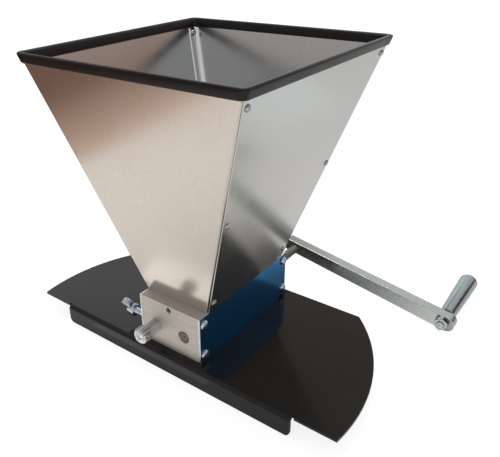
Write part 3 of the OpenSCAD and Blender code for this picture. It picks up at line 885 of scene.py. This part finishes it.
@dataclass
class Housing:
    """End blocks, blue side panels, bushes and their screws."""

    rounding: float = 0.18
    thread: float = 5.0
    shank: float = 11.0
    panel_x: float = 36.0
    block_y: float = 67.25
    rows: Flat = (10.1, 43.0)
    broad_face: float = 0.9  # least part along x of the normal of a blue face
    seed: int = 7

    def build(self, stand: NodeTree) -> None:
        """Makes the blocks, panels and panel screws.

        Args:
            stand: tree that stands screws on points.
        """
        for node in ("front_end_block", "rear_end_block"):
            dress(machined(node), BLOCK, Body.FRAME, node)
        for node in ("left_side_panel", "right_side_panel"):
            panel = machined(node, self.rounding)
            panel.data.materials.append(PANEL.material())
            panel.data.materials.append(BARE_EDGE.material())
            for face in panel.data.polygons:
                face.material_index = 0 if abs(face.normal.x) > self.broad_face else 1
            dress(panel, PANEL, Body.FRAME, node)
        # The bushes' near-black finish is painted shade in their recesses.
        carry("front_drive_bush", BRONZE_PAINTED_SHADE)
        carry("rear_drive_bush", BRONZE_PAINTED_SHADE)
        # The lip screws take the dark roller steel: partly a blackened screw, partly painted shade in their
        # sunk holes.
        carry("lip_screws", ROLLER)
        spots = [((x * self.panel_x, y * self.block_y, z), (x, 0.0, 0.0))
                 for x in (-1, 1) for y in (-1, 1) for z in self.rows]
        set_out(stand, PanScrew(self.thread, self.shank).part(), spots, self.seed, ZINC,
                "panel_screw_set", "side_panel_screws")


@dataclass
class Hopper:
    """Four sheets, their screws and nuts, and the trim on the rim."""

    low: float = 50.6
    high: float = 271.1
    foot_x: float = 36.7
    foot_y: float = 61.75
    rim_x: float = 109.75
    rim_y: float = 111.65
    sheet: float = 1.0
    play: float = 0.02  # between sheets, and between sheet and trim
    foot_play: float = 0.05
    rim_play: float = 0.1
    cut_round: float = 0.16
    bend: float = 2.3
    inner_bend: float = 4.5
    bend_steps: int = 6
    nose: float = 2.6  # length of the rounding at a flange's free end
    nose_turns: tuple[float, ...] = (22.5, 45.0, 67.5)  # degrees
    inside: float = 0.1  # least inward part of the normal of an inner face
    # Faces past this share get the painted highlight of the inner steel.
    bent: float = 0.12  # least part of a bend's normal, inwards and along x
    setback: float = 1.5
    seam: float = 12.0
    seam_top: float = 263.6
    lip: float = 8.0
    lip_half: float = 33.0
    lip_lap: float = 0.4
    pin: Point = (-1.5, 45.1, 1.52)  # x, z and radius of the hole in the lip
    pin_steps: int = 24
    screw: float = 3.0
    screw_steps: int = 28
    screw_past: float = 0.5
    inset: float = 6.5
    end_gap: float = 13.5
    middle: float = 0.48  # place of the middle screw between the end ones
    nut_height: float = 2.4
    nut_share: float = 1.8
    trim_wall: float = 1.9
    trim_cover: float = 6.5
    trim_corner: float = 5.5
    trim_corner_steps: int = 8
    trim_slot: float = 0.34
    trim_top_round: float = 2.2
    trim_foot_round: float = 0.6
    trim_lead: float = 0.3
    seed: int = 11

    def __post_init__(self) -> None:
        """Works out the sheets' slopes."""
        rise = self.high - self.low
        self.grow_x, self.grow_y = (self.rim_x - self.foot_x) / rise, (self.rim_y - self.foot_y) / rise
        self.lean_x, self.lean_y = math.atan(self.grow_x), math.atan(self.grow_y)
        self.wall_x, self.wall_y = self.sheet / math.cos(self.lean_x), self.sheet / math.cos(self.lean_y)

    def half(self, z: float) -> Flat:
        """Half widths over the side and end sheets' outer faces at a height."""
        return self.foot_x + self.grow_x * (z - self.low), self.foot_y + self.grow_y * (z - self.low)

    def end_ring(self, z: float) -> list[Point]:
        """Cross-section of the front sheet: seam flange, bend, face, bend and seam flange.

        Args:
            z: height of the section.

        Returns:
            The section's closed outline. The flanges' free ends are rounded on the inside.
        """
        half_x, half_y = self.half(z)
        x, y = half_x - self.wall_x - self.play, -half_y
        end = y + self.seam
        outer = fillet([(-x, end, 0), (-x, y, self.bend), (x, y, self.bend), (x, end, 0)], self.bend_steps)
        x, y = x - self.wall_x, y + self.wall_y
        inner = fillet([(-x, end - self.nose, 0), (-x, y, self.inner_bend),
                        (x, y, self.inner_bend), (x, end - self.nose, 0)], self.bend_steps)
        turns = [math.radians(angle) for angle in self.nose_turns]
        nose = [(x + self.wall_x * (1 - math.sin(turn)), end - self.nose * (1 - math.cos(turn)))
                for turn in turns]
        inner = [(-px, py) for px, py in nose] + inner + nose[::-1]
        return [(px, py, z) for px, py in outer + inner[::-1]]

    def end_sheet(self, hand: Hand) -> Piece:
        """Makes the front or back sheet.

        Args:
            hand: front is NEAR, back is FAR.

        Returns:
            The sheet with its seam flanges and its lip between the blocks.
        """
        body = skin([self.end_ring(z) for z in (self.low + self.foot_play, self.seam_top)])
        rim = []
        for z in (self.seam_top, self.high):
            half_x, half_y = self.half(z)
            x = half_x - self.wall_x - self.rim_play
            rim.append(level((-x, x), (-half_y, self.wall_y - half_y), z))
        lip_x, lip_y = (-self.lip_half, self.lip_half), (-self.foot_y, self.sheet - self.foot_y)
        lip = [level(lip_x, lip_y, z) for z in (self.low - self.lip, self.low + self.lip_lap)]
        tongue = piece("tongue", skin(lip))
        pin_x, pin_z, pin_r = self.pin
        hole = facing((pin_x, -self.foot_y, pin_z), (0, 1, 0))
        drill(tongue, pin_r, (-OVERSHOOT, self.sheet + OVERSHOOT), hole, self.pin_steps)
        drilled = bmesh.new()
        drilled.from_mesh(tongue.data)
        drilled.transform(Matrix.Scale(1 / MM, 4))
        bpy.data.objects.remove(tongue)
        parts = [body, skin(rim), drilled]
        if hand is Hand.FAR:
            for part in parts:
                part.transform(Matrix.Diagonal((1, -1, 1, 1)))
                bmesh.ops.reverse_faces(part, faces=part.faces)
        made = piece("hopper_front_sheet" if hand is Hand.NEAR else "hopper_back_sheet", *parts)
        made.data.materials.append(END_STEEL_WARM_REFLECTION.material())
        made.data.materials.append(INNER_STEEL_PAINTED_HIGHLIGHT.material())
        # Inner faces take the neutral copy of the steel, and bends and flange ends are marked for its painted
        # highlight.
        layer = made.data.attributes.new("edge", "FLOAT", "FACE")
        for item, face in zip(layer.data, made.data.polygons):
            inward = -hand * face.normal.y
            face.material_index = 1 if inward > self.inside else 0
            item.value = 1.0 if inward > self.bent and abs(face.normal.x) > self.bent else 0.0
        smooth(made, Crease.SHEET, weighted=True)
        return made

    def side_sheet(self, hand: Hand) -> Piece:
        """Makes the left or right sheet, a flat trapezium with rounded cut edges.

        Args:
            hand: left is NEAR, right is FAR.

        Returns:
            The sheet.
        """
        rings = []
        for z in (self.low, self.high):
            half_x, half_y = self.half(z)
            y = half_y - self.setback
            up = self.sheet * math.sin(self.lean_x)
            inner = half_x - self.sheet * math.cos(self.lean_x)
            rings.append([(half_x, -y, z), (half_x, y, z), (inner, y, z + up), (inner, -y, z + up)])
        body = skin(rings)
        bmesh.ops.bevel(body, geom=body.edges[:], offset=self.cut_round, **ROUND_EDGES)
        if hand is Hand.NEAR:
            body.transform(Matrix.Rotation(math.pi, 4, "Z"))
        made = piece("hopper_left_sheet" if hand is Hand.NEAR else "hopper_right_sheet", body)
        smooth(made, Crease.SHEET, weighted=True)
        return made

    def screw_spots(self, sink: float) -> list[tuple[Point, Point]]:
        """Places of the screws, at a depth below the sheets' outer faces.

        Args:
            sink: depth in millimetres.

        Returns:
            Place and outward direction of each screw.
        """
        slope = (self.high - self.low) / math.cos(self.lean_x)
        run = slope - 2 * self.end_gap
        spots = []
        for up in (self.end_gap, self.end_gap + self.middle * run, slope - self.end_gap):
            y = self.foot_y + (self.rim_y - self.foot_y) * up / slope - self.inset
            for x_hand in (-1, 1):
                way = (x_hand * math.cos(self.lean_x), 0.0, -math.sin(self.lean_x))
                spot = Vector((x_hand * (self.foot_x + up * math.sin(self.lean_x)), 0.0,
                               self.low + up * math.cos(self.lean_x))) - Vector(way) * sink
                spots += [((spot.x, y_hand * y, spot.z), way) for y_hand in (-1, 1)]
        return spots

    def trim_ring(self, grow: float, z: float) -> list[Point]:
        """Closed path round the rim at an offset from the sheets' outer faces.

        Args:
            grow: offset, outwards.
            z: height.

        Returns:
            The path's points.
        """
        half_x, half_y = self.half(z)
        x, y = half_x + grow / math.cos(self.lean_x), half_y + grow / math.cos(self.lean_y)
        share = (grow + self.sheet + self.trim_wall) / (self.sheet + 2 * self.trim_wall)
        radius = self.trim_corner - self.trim_wall * (1 - share)
        corners = [(x, -y, radius), (x, y, radius), (-x, y, radius), (-x, -y, radius)]
        return [(px, py, z) for px, py in fillet(corners, self.trim_corner_steps, loop=True)]

    def trim(self) -> Piece:
        """Makes the U-section trim.

        Returns:
            The trim.
        """
        top, slot = self.high + self.trim_wall, self.high + self.trim_slot
        foot = self.high - self.trim_cover
        out, back = self.trim_wall, -self.sheet - self.trim_wall
        near, far = self.play, -self.sheet - self.play
        profile = fillet([(out, foot, self.trim_foot_round), (out, top, self.trim_top_round),
                          (back, top, self.trim_top_round), (back, foot, self.trim_foot_round),
                          (far, foot, self.trim_lead), (far, slot, 0),
                          (near, slot, 0), (near, foot, self.trim_lead)], loop=True)
        made = piece("rim_trim_strip", skin([self.trim_ring(g, z) for g, z in profile], loop=True))
        smooth(made, Crease.SOFT)
        return made

    def build(self, stand: NodeTree) -> None:
        """Makes and dresses the hopper.

        Args:
            stand: tree that stands screws and nuts on points.
        """
        dress(self.end_sheet(Hand.NEAR), END_STEEL_WARM_REFLECTION, Body.FRAME, "hopper_front_panel")
        dress(self.end_sheet(Hand.FAR), END_STEEL_WARM_REFLECTION, Body.FRAME, "hopper_back_panel")
        dress(self.side_sheet(Hand.NEAR), SIDE_STEEL_COOL_REFLECTION, Body.FRAME, "hopper_left_panel")
        dress(self.side_sheet(Hand.FAR), SIDE_STEEL_COOL_REFLECTION, Body.FRAME, "hopper_right_panel")
        dress(self.trim(), TRIM_RUBBER, Body.FRAME, "rim_trim")
        depth = 2 * self.sheet + self.nut_height
        screw = PanScrew(self.screw, depth + self.screw_past, self.screw_steps).part()
        set_out(stand, screw, self.screw_spots(0.0), self.seed, SHEET_SCREW,
                "hopper_screw_set", "hopper_screws")
        nut_mesh = HexNut(self.nut_share * self.screw, self.nut_height, self.screw).mesh(Matrix.Identity(4))
        nut = piece("nut_part", nut_mesh)
        smooth(nut, Crease.NUT)
        set_out(stand, nut, self.screw_spots(depth), self.seed + 1, ZINC, "hopper_nut_set", "hopper_nuts")


@dataclass
class Rollers:
    """The two fluted rollers, which stay as packed."""

    def build(self) -> None:
        """Dresses the rollers."""
        carry("drive_roller", ROLLER)
        carry("idler_roller", ROLLER)


@dataclass
class Adjuster:
    """Gap adjuster: eccentric disc, stem and ribbed head with a dimple in its end."""

    hand: Hand
    axis_x: float = -16.6
    axis_z: float = 23.7
    inner_y: float = 61.75
    block: float = 11.0
    disc_r: float = 8.0
    disc: Flat = (0.15, 7.85)  # start and end along the axis
    stem_r: float = 6.25
    stem: float = 13.5
    head_r: float = 7.3
    head: float = 10.0
    chamfer: float = 0.8
    edge: float = 0.2
    soft_edge: float = 0.3
    edge_steps: int = 3
    steps: int = 64
    dimple_r: Flat = (2.6, 2.1)  # at its rim and its foot
    dimple: Flat = (0.7, 0.8)  # depth at its foot and in the middle
    rib: float = 0.53
    rib_short: float = 2.08  # how much shorter than the head the ribs are
    ribs: int = 24
    bore_r: float = 4.79
    bore_steps: int = 48
    bore_at: Flat = (-16.1774, 24.6063)
    bore_floor: float = 7.0

    def profile(self) -> list[Flat]:
        """Half section of the adjuster, from the disc's inner face outwards.

        Returns:
            Radius and height of each point.
        """
        start = self.block + self.stem
        end = start + self.head
        shoulder = self.head_r - self.chamfer
        low, high = self.disc
        return fillet([(0, low, 0), (self.disc_r, low, self.edge), (self.disc_r, high, self.edge),
                       (self.stem_r, high, 0), (self.stem_r, start, self.soft_edge),
                       (shoulder, start, self.edge), (self.head_r, start + self.chamfer, self.edge),
                       (self.head_r, end - self.chamfer, self.soft_edge), (shoulder, end, self.soft_edge),
                       (self.dimple_r[0], end, self.edge),
                       (self.dimple_r[1], end - self.dimple[0], self.edge), (0, end - self.dimple[1], 0)],
                      self.edge_steps)

    def build(self, knurl: NodeTree) -> None:
        """Makes and dresses the adjuster.

        Args:
            knurl: tree that adds ribs round a head.
        """
        front = self.hand is Hand.NEAR
        way = (0.0, float(self.hand), 0.0)
        place = facing((self.axis_x, self.hand * self.inner_y, self.axis_z), way)
        made = piece("front_adjuster_screw" if front else "rear_adjuster_screw",
                     turned(self.profile(), place, self.steps))
        hole = facing((self.bore_at[0], self.hand * self.inner_y, self.bore_at[1]), way)
        drill(made, self.bore_r, (-OVERSHOOT, self.bore_floor), hole, self.bore_steps)
        middle = self.hand * (self.inner_y + self.block + self.stem + self.head / 2)
        knurl.run(made, Count=self.ribs, Radius=self.head_r * MM, Rib=self.rib * MM,
                  Length=(self.head - self.rib_short) * MM, Turn=(math.pi / 2, 0.0, 0.0),
                  Place=(self.axis_x * MM, middle * MM, self.axis_z * MM), Finish=TURNED.material())
        smooth(made, Crease.ROUNDED)
        body, node = (Body.FRONT_ADJUST, "front_adjuster") if front else (Body.REAR_ADJUST, "rear_adjuster")
        dress(made, TURNED, body, node)


@dataclass
class LockScrews:
    """The two winged lock screws, with the soft edges and full wings of a casting."""

    voxel: float = 0.32
    passes: int = 6
    wings_from: float = -49.6  # x beyond which the wings swell
    swell: float = 0.9

    def build(self) -> None:
        """Makes and dresses both screws."""
        for node, body in (("front_lock_screw", Body.FRONT_LOCK), ("rear_lock_screw", Body.REAR_LOCK)):
            made = machined(node)
            remesh = made.modifiers.new("cast", "REMESH")
            remesh.mode = "VOXEL"
            remesh.voxel_size = self.voxel * MM
            soften = made.modifiers.new("soften", "SMOOTH")
            soften.iterations = self.passes
            settle_modifiers(made)
            normals = [vert.normal.copy() for vert in made.data.vertices]
            for vert, normal in zip(made.data.vertices, normals):
                if vert.co.x < self.wings_from * MM:
                    vert.co += normal * (self.swell * MM)
            made.data.materials.clear()
            made.data.shade_smooth()
            dress(made, LOCK_PLATING, body, node)


@dataclass
class Crank:
    """Crank arm, its set screw, the bolt and nut, and the turning grip."""

    shaft_x: float = 16.6
    shaft_z: float = 23.7
    angle: float = 9.75
    arm_len: float = 174.6
    arm_y: Flat = (128.65, 140.65)
    hub_h: float = 13.6
    end_h: float = 15.8
    end_at: Flat = (178.6, -1.6)  # centre of the round end, along and across the arm
    end_steps: int = 32
    rounding: float = 0.75
    round_steps: int = 3
    rounded: Flat = (0.15, 0.96)  # part along the shaft of the normal of a rounded edge
    square_end: float = 13.0
    corner: float = 1.2
    least_corner: float = 0.1
    bore_r: float = 4.77
    bore_lead: float = 0.8
    bore_end: float = 138.95
    bore_steps: int = 64
    set_screw_r: float = 2.52
    set_screw_steps: int = 32
    set_screw_y: float = 133.65
    grip_y: Flat = (140.95, 220.95)
    grip_near: float = 7.75
    grip_far: float = 9.85
    grip_lead: float = 0.8
    grip_edge: float = 0.3
    grip_end: Flat = (2.4, 2.0)  # what the corner of the free end loses, across and along
    grip_round: float = 3.2
    grip_round_steps: int = 6
    grip_steps: int = 96
    grip_bore: float = 4.08
    seat_r: float = 6.8
    seat: float = 7.0
    bolt_r: float = 4.0
    bolt_steps: int = 48
    bolt_hole_steps: int = 40
    bolt_edge_steps: int = 3
    bolt_play: float = 0.02
    bolt_head: Point = (6.5, 214.25, 219.25)  # radius, foot and top
    bolt_head_edges: Flat = (0.2, 0.6)  # roundings at foot and top
    bolt_tip: float = 8.0
    tip_lead: float = 0.9
    thread: float = 6.0
    ridges: int = 4
    pitch: float = 1.2
    ridge: float = 0.5
    socket_r: float = 3.4
    socket_edge: float = 0.1
    socket: Flat = (2.4, 2.6)  # depth at its wall and in the middle
    nut_flats: float = 13.0
    nut_h: float = 6.5
    nut_chamfer: float = 0.6

    def at_crank(self) -> Matrix:
        """Frame of the crank: local X along the arm, local Y along the shaft."""
        return (Matrix.Translation((self.shaft_x, 0, self.shaft_z))
                @ Matrix.Rotation(math.radians(self.angle), 4, "Y"))

    def along_y(self, x: float) -> Matrix:
        """Frame on the crank whose Z runs along the shaft, at a distance along the arm."""
        return self.at_crank() @ Matrix.Translation((x, 0, 0)) @ Matrix.Rotation(-math.pi / 2, 4, "X")

    def outline(self, inset: float, y: float) -> list[Point]:
        """Outline of the arm at a depth, drawn in by an inset.

        Args:
            inset: distance inside the full outline.
            y: depth along the shaft.

        Returns:
            A round end and a square one, joined by straight flanks.
        """
        large = self.end_h / 2 - inset
        back, half = inset - self.square_end, self.hub_h / 2 - inset
        end = Vector(self.end_at)
        flank = Vector((back, half)) - end
        lift = math.acos(large / flank.length)
        first = math.atan2(flank.y, flank.x) - lift
        last = math.atan2(-half - end.y, flank.x) + lift
        sweep = (first - last) % (2 * math.pi)
        angles = [last + sweep * i / self.end_steps for i in range(self.end_steps + 1)]
        points = [(end.x + large * math.cos(a), end.y + large * math.sin(a)) for a in angles]
        corner = max(self.corner - inset, self.least_corner)
        corners = fillet([(*points[-1], 0), (back, half, corner), (back, -half, corner), (*points[0], 0)])
        return [(px, y, pz) for px, pz in points + corners[1:-1]]

    def arm(self) -> Piece:
        """Makes the arm.

        Returns:
            The casting, with the shaft's blind bore, the bolt's hole and the set screw's hole.
        """
        low, high = self.arm_y
        turns = [math.pi / 2 * i / self.round_steps for i in range(self.round_steps + 1)]
        rings = [(self.rounding * (1 - math.sin(turn)), low + self.rounding * (1 - math.cos(turn)))
                 for turn in turns]
        rings += [(inset, low + high - y) for inset, y in rings[::-1]]
        bar = skin([self.outline(inset, y) for inset, y in rings])
        bar.transform(self.at_crank())
        made = piece("crank_arm_casting", bar)
        mouth = self.bore_r + self.bore_lead
        bore = [(0, low - OVERSHOOT), (mouth, low - OVERSHOOT), (mouth, low),
                (self.bore_r, low + self.bore_lead), (self.bore_r, self.bore_end), (0, self.bore_end)]
        carve(made, turned(bore, self.along_y(0), self.bore_steps))
        end = (self.at_crank() @ Matrix.Translation((0, self.set_screw_y, 0))
               @ Matrix.Rotation(-math.pi / 2, 4, "Y"))
        drill(made, self.set_screw_r, (0, self.square_end + OVERSHOOT), end, self.set_screw_steps)
        drill(made, self.bolt_r, (low - OVERSHOOT, high + OVERSHOOT), self.along_y(self.arm_len),
              self.bolt_hole_steps)
        # Marks the rounded edges, where the crank finish paints its highlight.
        layer = made.data.attributes.new("edge", "FLOAT", "FACE")
        for item, face in zip(layer.data, made.data.polygons):
            item.value = 1.0 if self.rounded[0] < abs(face.normal.y) < self.rounded[1] else 0.0
        smooth(made, Crease.ROUNDED, weighted=True)
        return made

    def grip(self) -> Piece:
        """Turns the tapered grip with the seat for the bolt's head.

        Returns:
            The grip.
        """
        near, far = self.grip_y
        lead, edge = self.grip_lead, self.grip_edge
        profile = fillet([(self.grip_bore, near, edge), (self.grip_near - lead, near, edge),
                          (self.grip_near, near + lead, edge),
                          (self.grip_far, far - self.grip_end[1], self.grip_round),
                          (self.grip_far - self.grip_end[0], far, self.grip_round),
                          (self.seat_r, far, edge), (self.seat_r, far - self.seat, 0),
                          (self.grip_bore, far - self.seat, 0)], self.grip_round_steps, loop=True)
        body = turned(profile, self.along_y(self.arm_len), self.grip_steps, loop=True)
        made = piece("handle_grip_turned", body)
        smooth(made, Crease.SOFT)
        return made

    def bolt(self) -> Piece:
        """Turns the handle bolt, with thread ridges on the end that shows.

        Returns:
            The bolt.
        """
        head_r, low, high = self.bolt_head
        tip, shank = self.arm_y[0] - self.bolt_tip, self.bolt_r - self.bolt_play
        profile: list[Flat] = [(0, tip), (self.bolt_r - self.tip_lead, tip)]
        for i in range(self.ridges):
            foot = tip + i * self.pitch
            profile += [(self.bolt_r - self.ridge, foot + self.pitch / 2), (shank, foot + self.pitch)]
        profile += fillet([(shank, tip + self.thread, 0), (shank, low, 0),
                           (head_r, low, self.bolt_head_edges[0]), (head_r, high, self.bolt_head_edges[1]),
                           (self.socket_r, high, self.socket_edge),
                           (self.socket_r, high - self.socket[0], 0), (0, high - self.socket[1], 0)],
                          self.bolt_edge_steps)
        made = piece("handle_bolt_turned", turned(profile, self.along_y(self.arm_len), self.bolt_steps))
        smooth(made, Crease.MACHINED)
        return made

    def nut(self) -> Piece:
        """Makes the handle nut.

        Returns:
            The nut.
        """
        place = self.along_y(self.arm_len) @ Matrix.Translation((0, 0, self.arm_y[0] - self.nut_h))
        nut = HexNut(self.nut_flats, self.nut_h, 2 * self.bolt_r, self.nut_chamfer)
        made = piece("handle_nut_hex", nut.mesh(place))
        smooth(made, Crease.NUT)
        return made

    def build(self) -> None:
        """Makes and dresses the crank."""
        dress(self.arm(), CRANK, Body.DRIVE, "crank_arm")
        dress(self.grip(), GRIP, Body.GRIP, "handle_grip")
        dress(self.bolt(), PLATED, Body.DRIVE, "handle_bolt")
        dress(self.nut(), PLATED, Body.DRIVE, "handle_nut")
        carry("crank_set_screw", BLACK_STEEL)


@dataclass(frozen=True)
class FloorFinish(Finish):
    """Plain pale floor that glows softly, as on a light table."""

    pale: Colour = (0.40, 0.40, 0.40)
    cloud: float = 3.0
    cloud_share: float = 0.98
    rough: float = 0.9
    gloss: float = 0.1
    glow: float = 0.84

    def paint(self, shader: Shader) -> None:
        """Adds a faint cloud to the pale floor.

        Args:
            shader: nodes of the finish's material.
        """
        clouds = shader.span(shader.noise((self.cloud,) * 3, detail=3.0, rough=0.55))
        low = tuple(c * self.cloud_share for c in self.pale)
        shader.surface(Base_Color=shader.mix(clouds, low, self.pale), Roughness=self.rough,
                       Specular_IOR_Level=self.gloss, Emission_Strength=self.glow)


@dataclass(frozen=True)
class CardFinish(Finish):
    """Glowing card that only reflections see, with a tone that changes along two directions."""

    way: Point = (-0.826, -0.563, 0.0)
    reach: Flat = (404.0, 610.0)
    step: float = 8.0
    near: Colour = (0.66, 0.51, 0.42)
    far: Colour = (0.20, 0.125, 0.10)
    plain: tuple[Colour, Colour] = ((0.90, 0.88, 0.85), (0.70, 0.70, 0.69))
    plain_way: Point = (0.7, 0.7, 0.0)
    plain_reach: Flat = (-300.0, 400.0)
    rough: float = 0.9
    gloss: float = 0.0
    glow: float = 0.35

    @classmethod
    def even(cls, name: str, tone: Colour, glow: float = 0.35) -> "CardFinish":
        """A card whose plain tone is the same all over."""
        return cls(name, Slot.BASE, plain=(tone, tone), glow=glow)

    def paint(self, shader: Shader) -> None:
        """Adds the plain tone, and the step to the near and far tones.

        Args:
            shader: nodes of the finish's material.
        """
        along, across = shader.distance(self.way), shader.distance(self.plain_way)
        start, end = (reach * MM for reach in self.reach)
        low, high = (reach * MM for reach in self.plain_reach)
        step = self.step * MM
        fade = shader.mix(shader.ramp(along, start, end), self.near, self.far)
        plain = shader.mix(shader.ramp(across, low, high), *self.plain)
        tone = shader.mix(shader.ramp(along, start - step, start + step), plain, fade)
        shader.surface(Base_Color=tone, Emission_Color=tone, Roughness=self.rough,
                       Specular_IOR_Level=self.gloss, Emission_Strength=self.glow)


def upright(start: Flat, end: Flat, z: Flat) -> list[Point]:
    """Corners of an upright sheet that stands on the line between two points, between two heights."""
    return [(*start, z[0]), (*end, z[0]), (*end, z[1]), (*start, z[1])]


@dataclass
class Studio:
    """Floor, sky, soft light, reflection cards and camera."""

    floor_half: float = 8000.0
    floor_card_drop: float = 1.0
    card_drop: float = 0.6
    sky_reach: float = 4000.0
    azimuth: float = 37.85
    elevation: float = 26.05
    roll: float = -1.32
    distance: float = 546.76
    target: Point = (-0.07, -2.83, 117.7)
    focal_px: float = 581.05
    shift: Flat = (0.0729, -0.0323)
    frame_px: float = 500.0
    sensor: float = 36.0
    clip: Flat = (0.01, 100.0)  # metres
    horizon: tuple[Colour, Colour] = ((0.40, 0.38, 0.36), (0.40, 0.245, 0.185))
    horizon_way: Point = (0.7, 0.7, 0.0)
    dome: tuple[Colour, Colour] = ((0.50, 0.52, 0.55), (1.15, 1.15, 1.15))
    dome_way: Point = (-0.45, 0.85, 0.0)
    dome_span: Flat = (0.3, 0.8)
    dome_rise: Flat = (0.24, 0.44)
    key_at: Point = (-200.0, 300.0, 1500.0)
    key_aim: Point = (0.0, 0.0, 100.0)
    key_size: float = 500.0
    key_power: float = 5.0
    key_tint: Colour = (1.0, 0.98, 0.95)

    def sheet(self, name: str, ring: Sequence[Point], finish: Finish) -> Piece:
        """Puts up a flat stage sheet.

        Args:
            name: its name.
            ring: its corners.
            finish: its finish.

        Returns:
            The sheet.
        """
        mesh = bmesh.new()
        mesh.faces.new([mesh.verts.new(p) for p in ring])
        made = piece(name, mesh)
        made.data.materials.append(finish.material())
        return made

    def sky(self, azimuths: Flat, elevations: Flat) -> list[Point]:
        """Hangs a card in the sky.

        Args:
            azimuths: its two sides, in degrees from +X towards +Y.
            elevations: its lower and upper edges, in degrees.

        Returns:
            Its corners.
        """
        corners = level(azimuths, elevations, self.sky_reach)
        ways = [(math.radians(azimuth), math.radians(elevation)) for azimuth, elevation, _ in corners]
        return [tuple(self.sky_reach * c for c in (math.cos(e) * math.cos(a), math.cos(e) * math.sin(a),
                                                   math.sin(e))) for a, e in ways]

    def floor(self, drop: float) -> None:
        """Lays the floor and its backdrops, which only the camera sees.

        Args:
            drop: the floor's height.
        """
        half = self.floor_half
        ring = level((-half, half), (-half, half), drop)
        sheets = [("floor", ring)]
        for i, (start, end) in enumerate(zip(ring, ring[1:] + ring[:1])):
            sheets.append((f"backdrop_{i + 1}", upright(start[:2], end[:2], (drop, half))))
        for name, corners in sheets:
            seen = self.sheet(name, corners, FloorFinish("floor_pale", Slot.BASE))
            seen.visible_diffuse = seen.visible_glossy = seen.visible_shadow = False

    def cards(self, drop: float) -> None:
        """Puts up the cards that only reflections see.

        Args:
            drop: the floor's height.
        """
        half, low = self.floor_half, drop - self.card_drop
        even = CardFinish.even
        # Dark patch on the floor behind the mill: a painted shadow of the mill, dark at the left and lighter
        # to the right, seen only in reflections.
        back = CardFinish("card_back", Slot.BASE, plain=((0.08, 0.075, 0.07), (0.84, 0.83, 0.81)),
                          plain_way=(1.0, 0.0, 0.0), plain_reach=(55.0, 185.0), glow=0.8)
        cool = (0.72, 0.84, 0.86)
        cards = (
            ("floor_card", level((-half, half), (-half, half), drop - self.floor_card_drop),
             CardFinish("card_warm", Slot.BASE)),
            ("dark_card", upright((720, 680), (525, 800), (80, 300)), even("card_dark", (0.05, 0.045, 0.04))),
            ("pale_card", upright((1400, -730), (900, -1200), (0, 320)),
             even("card_pale", (1.0, 1.0, 1.0), 1.6)),
            ("back_card", level((-80, 190), (82, 150), low), back),
            ("front_card", level((-110, 40), (-132, -92), low), even("card_front", (0.95, 0.92, 0.88), 0.65)),
            ("shade_card", self.sky((102, 123), (28, 50)), even("card_shade", (0.60, 0.54, 0.49), 0.36)),
            ("flag_card", self.sky((70, 100), (51, 63)), even("card_flag", (0.03, 0.03, 0.03))),
            ("cool_card_1", self.sky((62, 100), (2, 26)), even("card_cool_1", cool, 0.45)),
            ("cool_card_2", self.sky((100, 150), (2, 26)), even("card_cool_2", cool, 0.88)),
            # Dimmer patch on the floor right of the grip: a painted shadow of the mill, seen only in
            # reflections.
            ("grip_card", level((195, 345), (290, 500), low), even("card_grip", (0.72, 0.76, 0.76), 0.5)),
        )
        for name, corners, finish in cards:
            self.sheet(name, corners, finish).visible_camera = False

    def light(self) -> None:
        """Sets the sky, dim and warm at the horizon, and hangs the soft key light."""
        world = bpy.data.worlds.new("studio")
        bpy.context.scene.world = world
        world.use_nodes = True
        sky = Toning(world.node_tree, "Generated")
        low = sky.mix(sky.ramp(sky.distance(self.horizon_way), -1.0, 1.0), *self.horizon)
        high = sky.mix(sky.ramp(sky.distance(self.dome_way), *self.dome_span), *self.dome)
        tone = sky.mix(sky.ramp(sky.distance((0.0, 0.0, 1.0)), *self.dome_rise), low, high)
        glow = sky.node("ShaderNodeBackground", {"Color": tone})
        sky.node("ShaderNodeOutputWorld", {"Surface": glow.outputs[0]})
        lamp = bpy.data.lights.new("key", "AREA")
        lamp.size = self.key_size * MM
        lamp.energy = self.key_power
        lamp.color = self.key_tint
        made = bpy.data.objects.new("key", lamp)
        at = Vector(self.key_at)
        turn = (Vector(self.key_aim) - at).normalized().to_track_quat("-Z", "Y")
        made.matrix_world = Matrix.Translation(at * MM) @ turn.to_matrix().to_4x4()
        bpy.context.scene.collection.objects.link(made)

    def camera(self) -> None:
        """Sets the camera at the photograph's angle."""
        az, el, roll = (math.radians(v) for v in (self.azimuth, self.elevation, self.roll))
        back = Vector((math.sin(az) * math.cos(el), -math.cos(az) * math.cos(el), math.sin(el)))
        right = Vector((math.cos(az), math.sin(az), 0.0))
        up = back.cross(right)
        rolled = Matrix((right * math.cos(roll) + up * math.sin(roll),
                         up * math.cos(roll) - right * math.sin(roll), back)).transposed()
        data = bpy.data.cameras.new("camera")
        data.sensor_width = self.sensor
        data.lens = self.focal_px / self.frame_px * self.sensor
        data.clip_start, data.clip_end = self.clip
        data.shift_x, data.shift_y = self.shift
        made = bpy.data.objects.new("camera", data)
        place = (Vector(self.target) + back * self.distance) * MM
        made.matrix_world = Matrix.Translation(place) @ rolled.to_4x4()
        bpy.context.scene.collection.objects.link(made)
        bpy.context.scene.camera = made

    def build(self) -> None:
        """Sets the whole stage, with the floor under the part's lowest point."""
        drop = CAD_BOX[0].z / MM
        self.floor(drop)
        self.cards(drop)
        self.light()
        self.camera()
        settings = bpy.context.scene.view_settings
        settings.view_transform = "Standard"
        settings.look = "None"


def main() -> None:
    """Builds every sub-assembly in order."""
    logging.basicConfig(level=logging.INFO, format="%(name)s: %(message)s")
    stand, knurl = parts_on_points(), ribs_round_head()
    BasePlate().build()
    Housing().build(stand)
    Hopper().build(stand)
    Rollers().build()
    for hand in Hand:
        Adjuster(hand).build(knurl)
    LockScrews().build()
    Crank().build()
    Studio().build()


if __name__ == "__main__":
    main()
